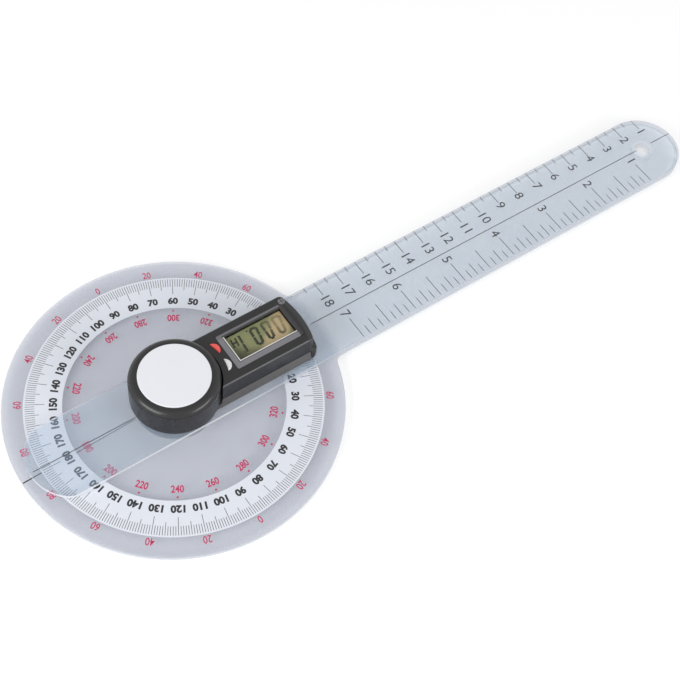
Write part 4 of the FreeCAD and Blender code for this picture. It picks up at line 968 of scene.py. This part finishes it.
class DisplayOperator(bpy.types.Operator):
    """Builds the readout: the display, its digits, its border, the window and the frame"""
    bl_idname = "finder.display"
    bl_label = "Readout"

    def execute(self, context):
        settings = context.scene.finder_display
        dress(self.display_material("display_reflector", settings), "lcd_panel")
        dress(self.bezel_material("bezel_gloss_grey", settings), "display_bezel")
        window, _, shader = new_material("window_clear", 0.06, alpha=0.05)
        shader.inputs["Base Color"].default_value = (0.02, 0.02, 0.02, 1.0)
        self.add_smears(window)
        dress(window, "display_lens")
        self.add_digits(settings)
        self.add_border(settings)
        return {"FINISHED"}

    def display_material(self, name, settings, inked=False):
        material, tree, shader = new_material(name, 0.32)
        tint = add_node(tree, "ShaderNodeGroup", node_tree=display_tint(settings))
        result = tint.outputs["Colour"]
        if inked:
            strength = remap(tint.outputs["Reach"], 0.0, 1.0, 1.0, 0.42)
            result = blend(strength, result, settings.ink)
        wire(shader, "Base Color", result)
        return material

    def bezel_material(self, name, settings):
        """Glossy grey with painted shade: darker in a band round the opening, along the far side and at the arm's
        end of the frame.
        """
        material, tree, shader = new_material(name)
        effect = add_node(tree, "ShaderNodeGroup", node_tree=moulded_grain())
        effect.inputs["Grain"].default_value, effect.inputs["Roughness"].default_value = 1400.0, 0.24
        axes = axes_of(object_place(tree))
        west, east, south, north = WINDOW
        rim = 0.7 * MM
        beyond = []
        for axis, low, high in ((axes[0], west, east), (axes[1], south, north)):
            off = calculate("ABSOLUTE", minus(axis, (low + high) / 2))
            beyond.append(minus(off, (high - low) / 2))
        band = remap(larger(*beyond), rim + 0.1 * MM, rim - 0.1 * MM, 0.0, 0.9)
        end = remap(axes[0], east - 0.3 * MM, east + 0.7 * MM, 0.0, 0.95)
        side = remap(axes[1], north - 0.6 * MM, north + 0.6 * MM, 0.0, 0.3)
        dim = larger(band, larger(end, side))
        tree.links.new(blend(dim, settings.bezel, (0.014, 0.014, 0.015)), effect.inputs["Colour"])
        wire(shader, "Base Color", effect.outputs["Colour"])
        wire(shader, "Roughness", effect.outputs["Roughness"])
        return material

    def add_smears(self, material):
        """Faint wiping marks in the window's gloss."""
        tree = material.node_tree
        place = object_place(tree)
        noise = cloudy(place, 150.0, 3.0)
        tree.links.new(remap(noise, 0.2, 0.8, 0.03, 0.12), tree.nodes["Principled BSDF"].inputs["Roughness"])

    def add_digits(self, settings):
        """Seven-segment noughts, a one and a small letter, read from the tip with their tops towards -Y."""
        work = bmesh.new()
        levels = (LCD_TOP, LCD_TOP + 0.03 * MM)
        # Corners of the noughts, then bars as start, end and width, then points, all in millimetres
        zeros = (((36.0, 4.87), (38.74, 4.82), (37.54, -2.62), (35.38, -2.49)),
                 ((40.99, 5.0), (43.9, 4.8), (42.45, -2.75), (40.83, -2.6)),
                 ((45.95, 4.9), (49.1, 4.65), (47.65, -2.7), (45.64, -2.7)))
        for corners in zeros:
            a, b, c, d = [Vector(corner) * MM for corner in corners]
            left, right = (a + d) / 2, (b + c) / 2
            for start, end in ((a, b), (d, c), (a, left), (left, d), (b, right), (right, c)):
                self.add_segment(work, start, end, settings.stroke, settings.gap, levels)
        for start, end, width in (
                ((30.95, 5.1), (30.65, 0.95), 1.0), ((30.62, 0.9), (30.27, -3.1), 1.0),
                ((27.45, 5.0), (26.95, 0.8), 0.75), ((29.25, 4.9), (28.8, 0.8), 0.75),
                ((27.2, 2.9), (29.0, 2.85), 0.75)):
            self.add_segment(work, Vector(start) * MM, Vector(end) * MM, width * MM, 0.1 * MM, levels)
        for (x, y), size in (((34.76, 5.0), 0.42), ((29.32, -2.56), 0.3)):
            add_outline(work, round_outline(x * MM, y * MM, size * MM, POINT_STEPS), *levels)
        material = self.display_material("display_segments", settings, inked=True)
        finish_piece("display_digits", work, material, "moving_arm")

    def add_segment(self, work, start, end, width, gap, levels):
        """One bar of a digit, bluntly pointed at both ends."""
        along = (end - start).normalized()
        across = Vector((-along.y, along.x)) * width / 2
        start, end = start + along * gap / 2, end - along * gap / 2
        point = along * width * 0.22
        outline = [start, start + point + across, end - point + across, end, end - point - across,
                   start + point - across]
        add_outline(work, [tuple(corner) for corner in outline], *levels)

    def add_border(self, settings):
        """The dark line round the display, and a painted highlight along the edge of the opening on the hub and
        near sides.
        """
        window, top = WINDOW, LCD_TOP + 0.06 * MM
        work = bmesh.new()
        add_frame(work, shrunk(window, -0.3 * MM), shrunk(window, settings.border), LCD_TOP, top)
        dark = plastic("border_black", (0.012, 0.012, 0.013), 0.4, 1500.0, 0.002)
        finish_piece("display_border", work, dark, "moving_arm")
        # A pale strip painted as the highlight on the opening's edge
        work = bmesh.new()
        west, east, south, north = shrunk(window, -0.04 * MM)
        wide, level = settings.bead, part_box("display_bezel")[1].z
        add_outline(work, [(west, north), (west - wide, north), (west - wide, south - wide),
                           (east, south - wide), (east, south), (west, south)], level, level + 0.04 * MM)
        bright = plastic("edge_glint_pale", (0.72, 0.72, 0.68), 0.3, 1500.0, 0.002)
        finish_piece("display_edge_glint", work, bright, "moving_arm")


def shrunk(box, amount):
    """A box (x low, x high, y low, y high) with every side moved in."""
    return box[0] + amount, box[1] - amount, box[2] + amount, box[3] - amount


class ButtonsOperator(bpy.types.Operator):
    """Gives the two half-moon buttons their colours"""
    bl_idname = "finder.buttons"
    bl_label = "Buttons"

    def execute(self, context):
        dress(plastic("button_red", (0.92, 0.12, 0.105), 0.3, 1500.0, 0.003, 0.05), "red_button")
        dress(plastic("button_white", (0.8, 0.8, 0.8), 0.3, 1500.0, 0.003, 0.04), "white_button")
        return {"FINISHED"}


class FittingsOperator(bpy.types.Operator):
    """Gives screws, washers, boards and contacts their finishes"""
    bl_idname = "finder.fittings"
    bl_label = "Fittings"

    def execute(self, context):
        dress(metal("plain_steel", (0.62, 0.63, 0.64), 0.3), "base_screws", "clamp_ring", "pivot_bolt",
              "case_screws", "negative_contact", "positive_contact")
        dress(metal("screw_grey_steel", (0.27, 0.27, 0.275), 0.5), "tray_screw", "rotor_clip")
        dress(metal("turned_brass", (0.72, 0.56, 0.26), 0.26, (1, 1, 14)), "pivot_sleeve", "knob_insert")
        dress(metal("cell_steel", (0.7, 0.71, 0.72), 0.2), "coin_cell")
        dress(plastic("slip_nylon", (0.82, 0.82, 0.8), 0.5, 1200.0, 0.004), "slip_washer", "friction_washer")
        dress(plastic("moulded_dark", (0.035, 0.035, 0.037), 0.4), "board_connector", "button_switches")
        dress(plastic("cured_resin", (0.012, 0.012, 0.013), 0.16, 700.0, 0.004), "controller_blob")
        dress(plastic("strip_rubber", (0.3, 0.24, 0.26), 0.6, 900.0, 0.008), "zebra_strip")
        dress(self.board_material(), "encoder_board", "encoder_rotor", "main_board")
        return {"FINISHED"}

    def board_material(self):
        """Green solder mask over faint copper tracks."""
        material, tree, shader = new_material("board_green", 0.35)
        place = object_place(tree)
        tracks = add_node(tree, "ShaderNodeTexVoronoi", {"Vector": place, "Scale": 420.0},
                          distance="MANHATTAN", feature="DISTANCE_TO_EDGE").outputs[0]
        copper = remap(tracks, 0.05, 0.1)
        wire(shader, "Base Color", blend(copper, (0.07, 0.28, 0.1), (0.02, 0.14, 0.055)))
        bump = add_node(tree, "ShaderNodeBump", {"Height": copper, "Distance": 0.02 * MM})
        wire(shader, "Normal", bump.outputs[0])
        return material


class FinderPanel(bpy.types.Panel):
    """Lists the steps that dress the angle finder"""
    bl_idname = "VIEW3D_PT_angle_finder"
    bl_label = "Angle finder"
    bl_space_type = "VIEW_3D"
    bl_region_type = "UI"
    bl_category = "Angle finder"

    def draw(self, context):
        for operator in OPERATORS:
            self.layout.operator(operator.bl_idname)
        for key in SETTINGS:
            box = self.layout.box()
            group = getattr(context.scene, key)
            for name in group.__annotations__:
                box.prop(group, name)


OPERATORS = (StageOperator, PlatesOperator, DialPrintOperator, ArmPrintOperator, KnobOperator, CaseOperator,
             DisplayOperator, ButtonsOperator, FittingsOperator)
SETTINGS = {"finder_stage": StageSettings, "finder_plates": PlateSettings, "finder_dial": DialSettings,
            "finder_ruler": RulerSettings, "finder_knob": KnobSettings, "finder_display": DisplaySettings}


def register():
    for kind in (*SETTINGS.values(), *OPERATORS, FinderPanel):
        bpy.utils.register_class(kind)
    for key, kind in SETTINGS.items():
        setattr(bpy.types.Scene, key, PointerProperty(type=kind))


def unregister():
    for key in SETTINGS:
        delattr(bpy.types.Scene, key)
    for kind in (FinderPanel, *reversed(OPERATORS), *reversed(tuple(SETTINGS.values()))):
        bpy.utils.unregister_class(kind)


def main():
    register()
    bpy.context.scene.view_settings.view_transform = "Standard"
    for operator in OPERATORS:
        getattr(bpy.ops.finder, operator.bl_idname.split(".")[1])()


if __name__ == "__main__":
    main()
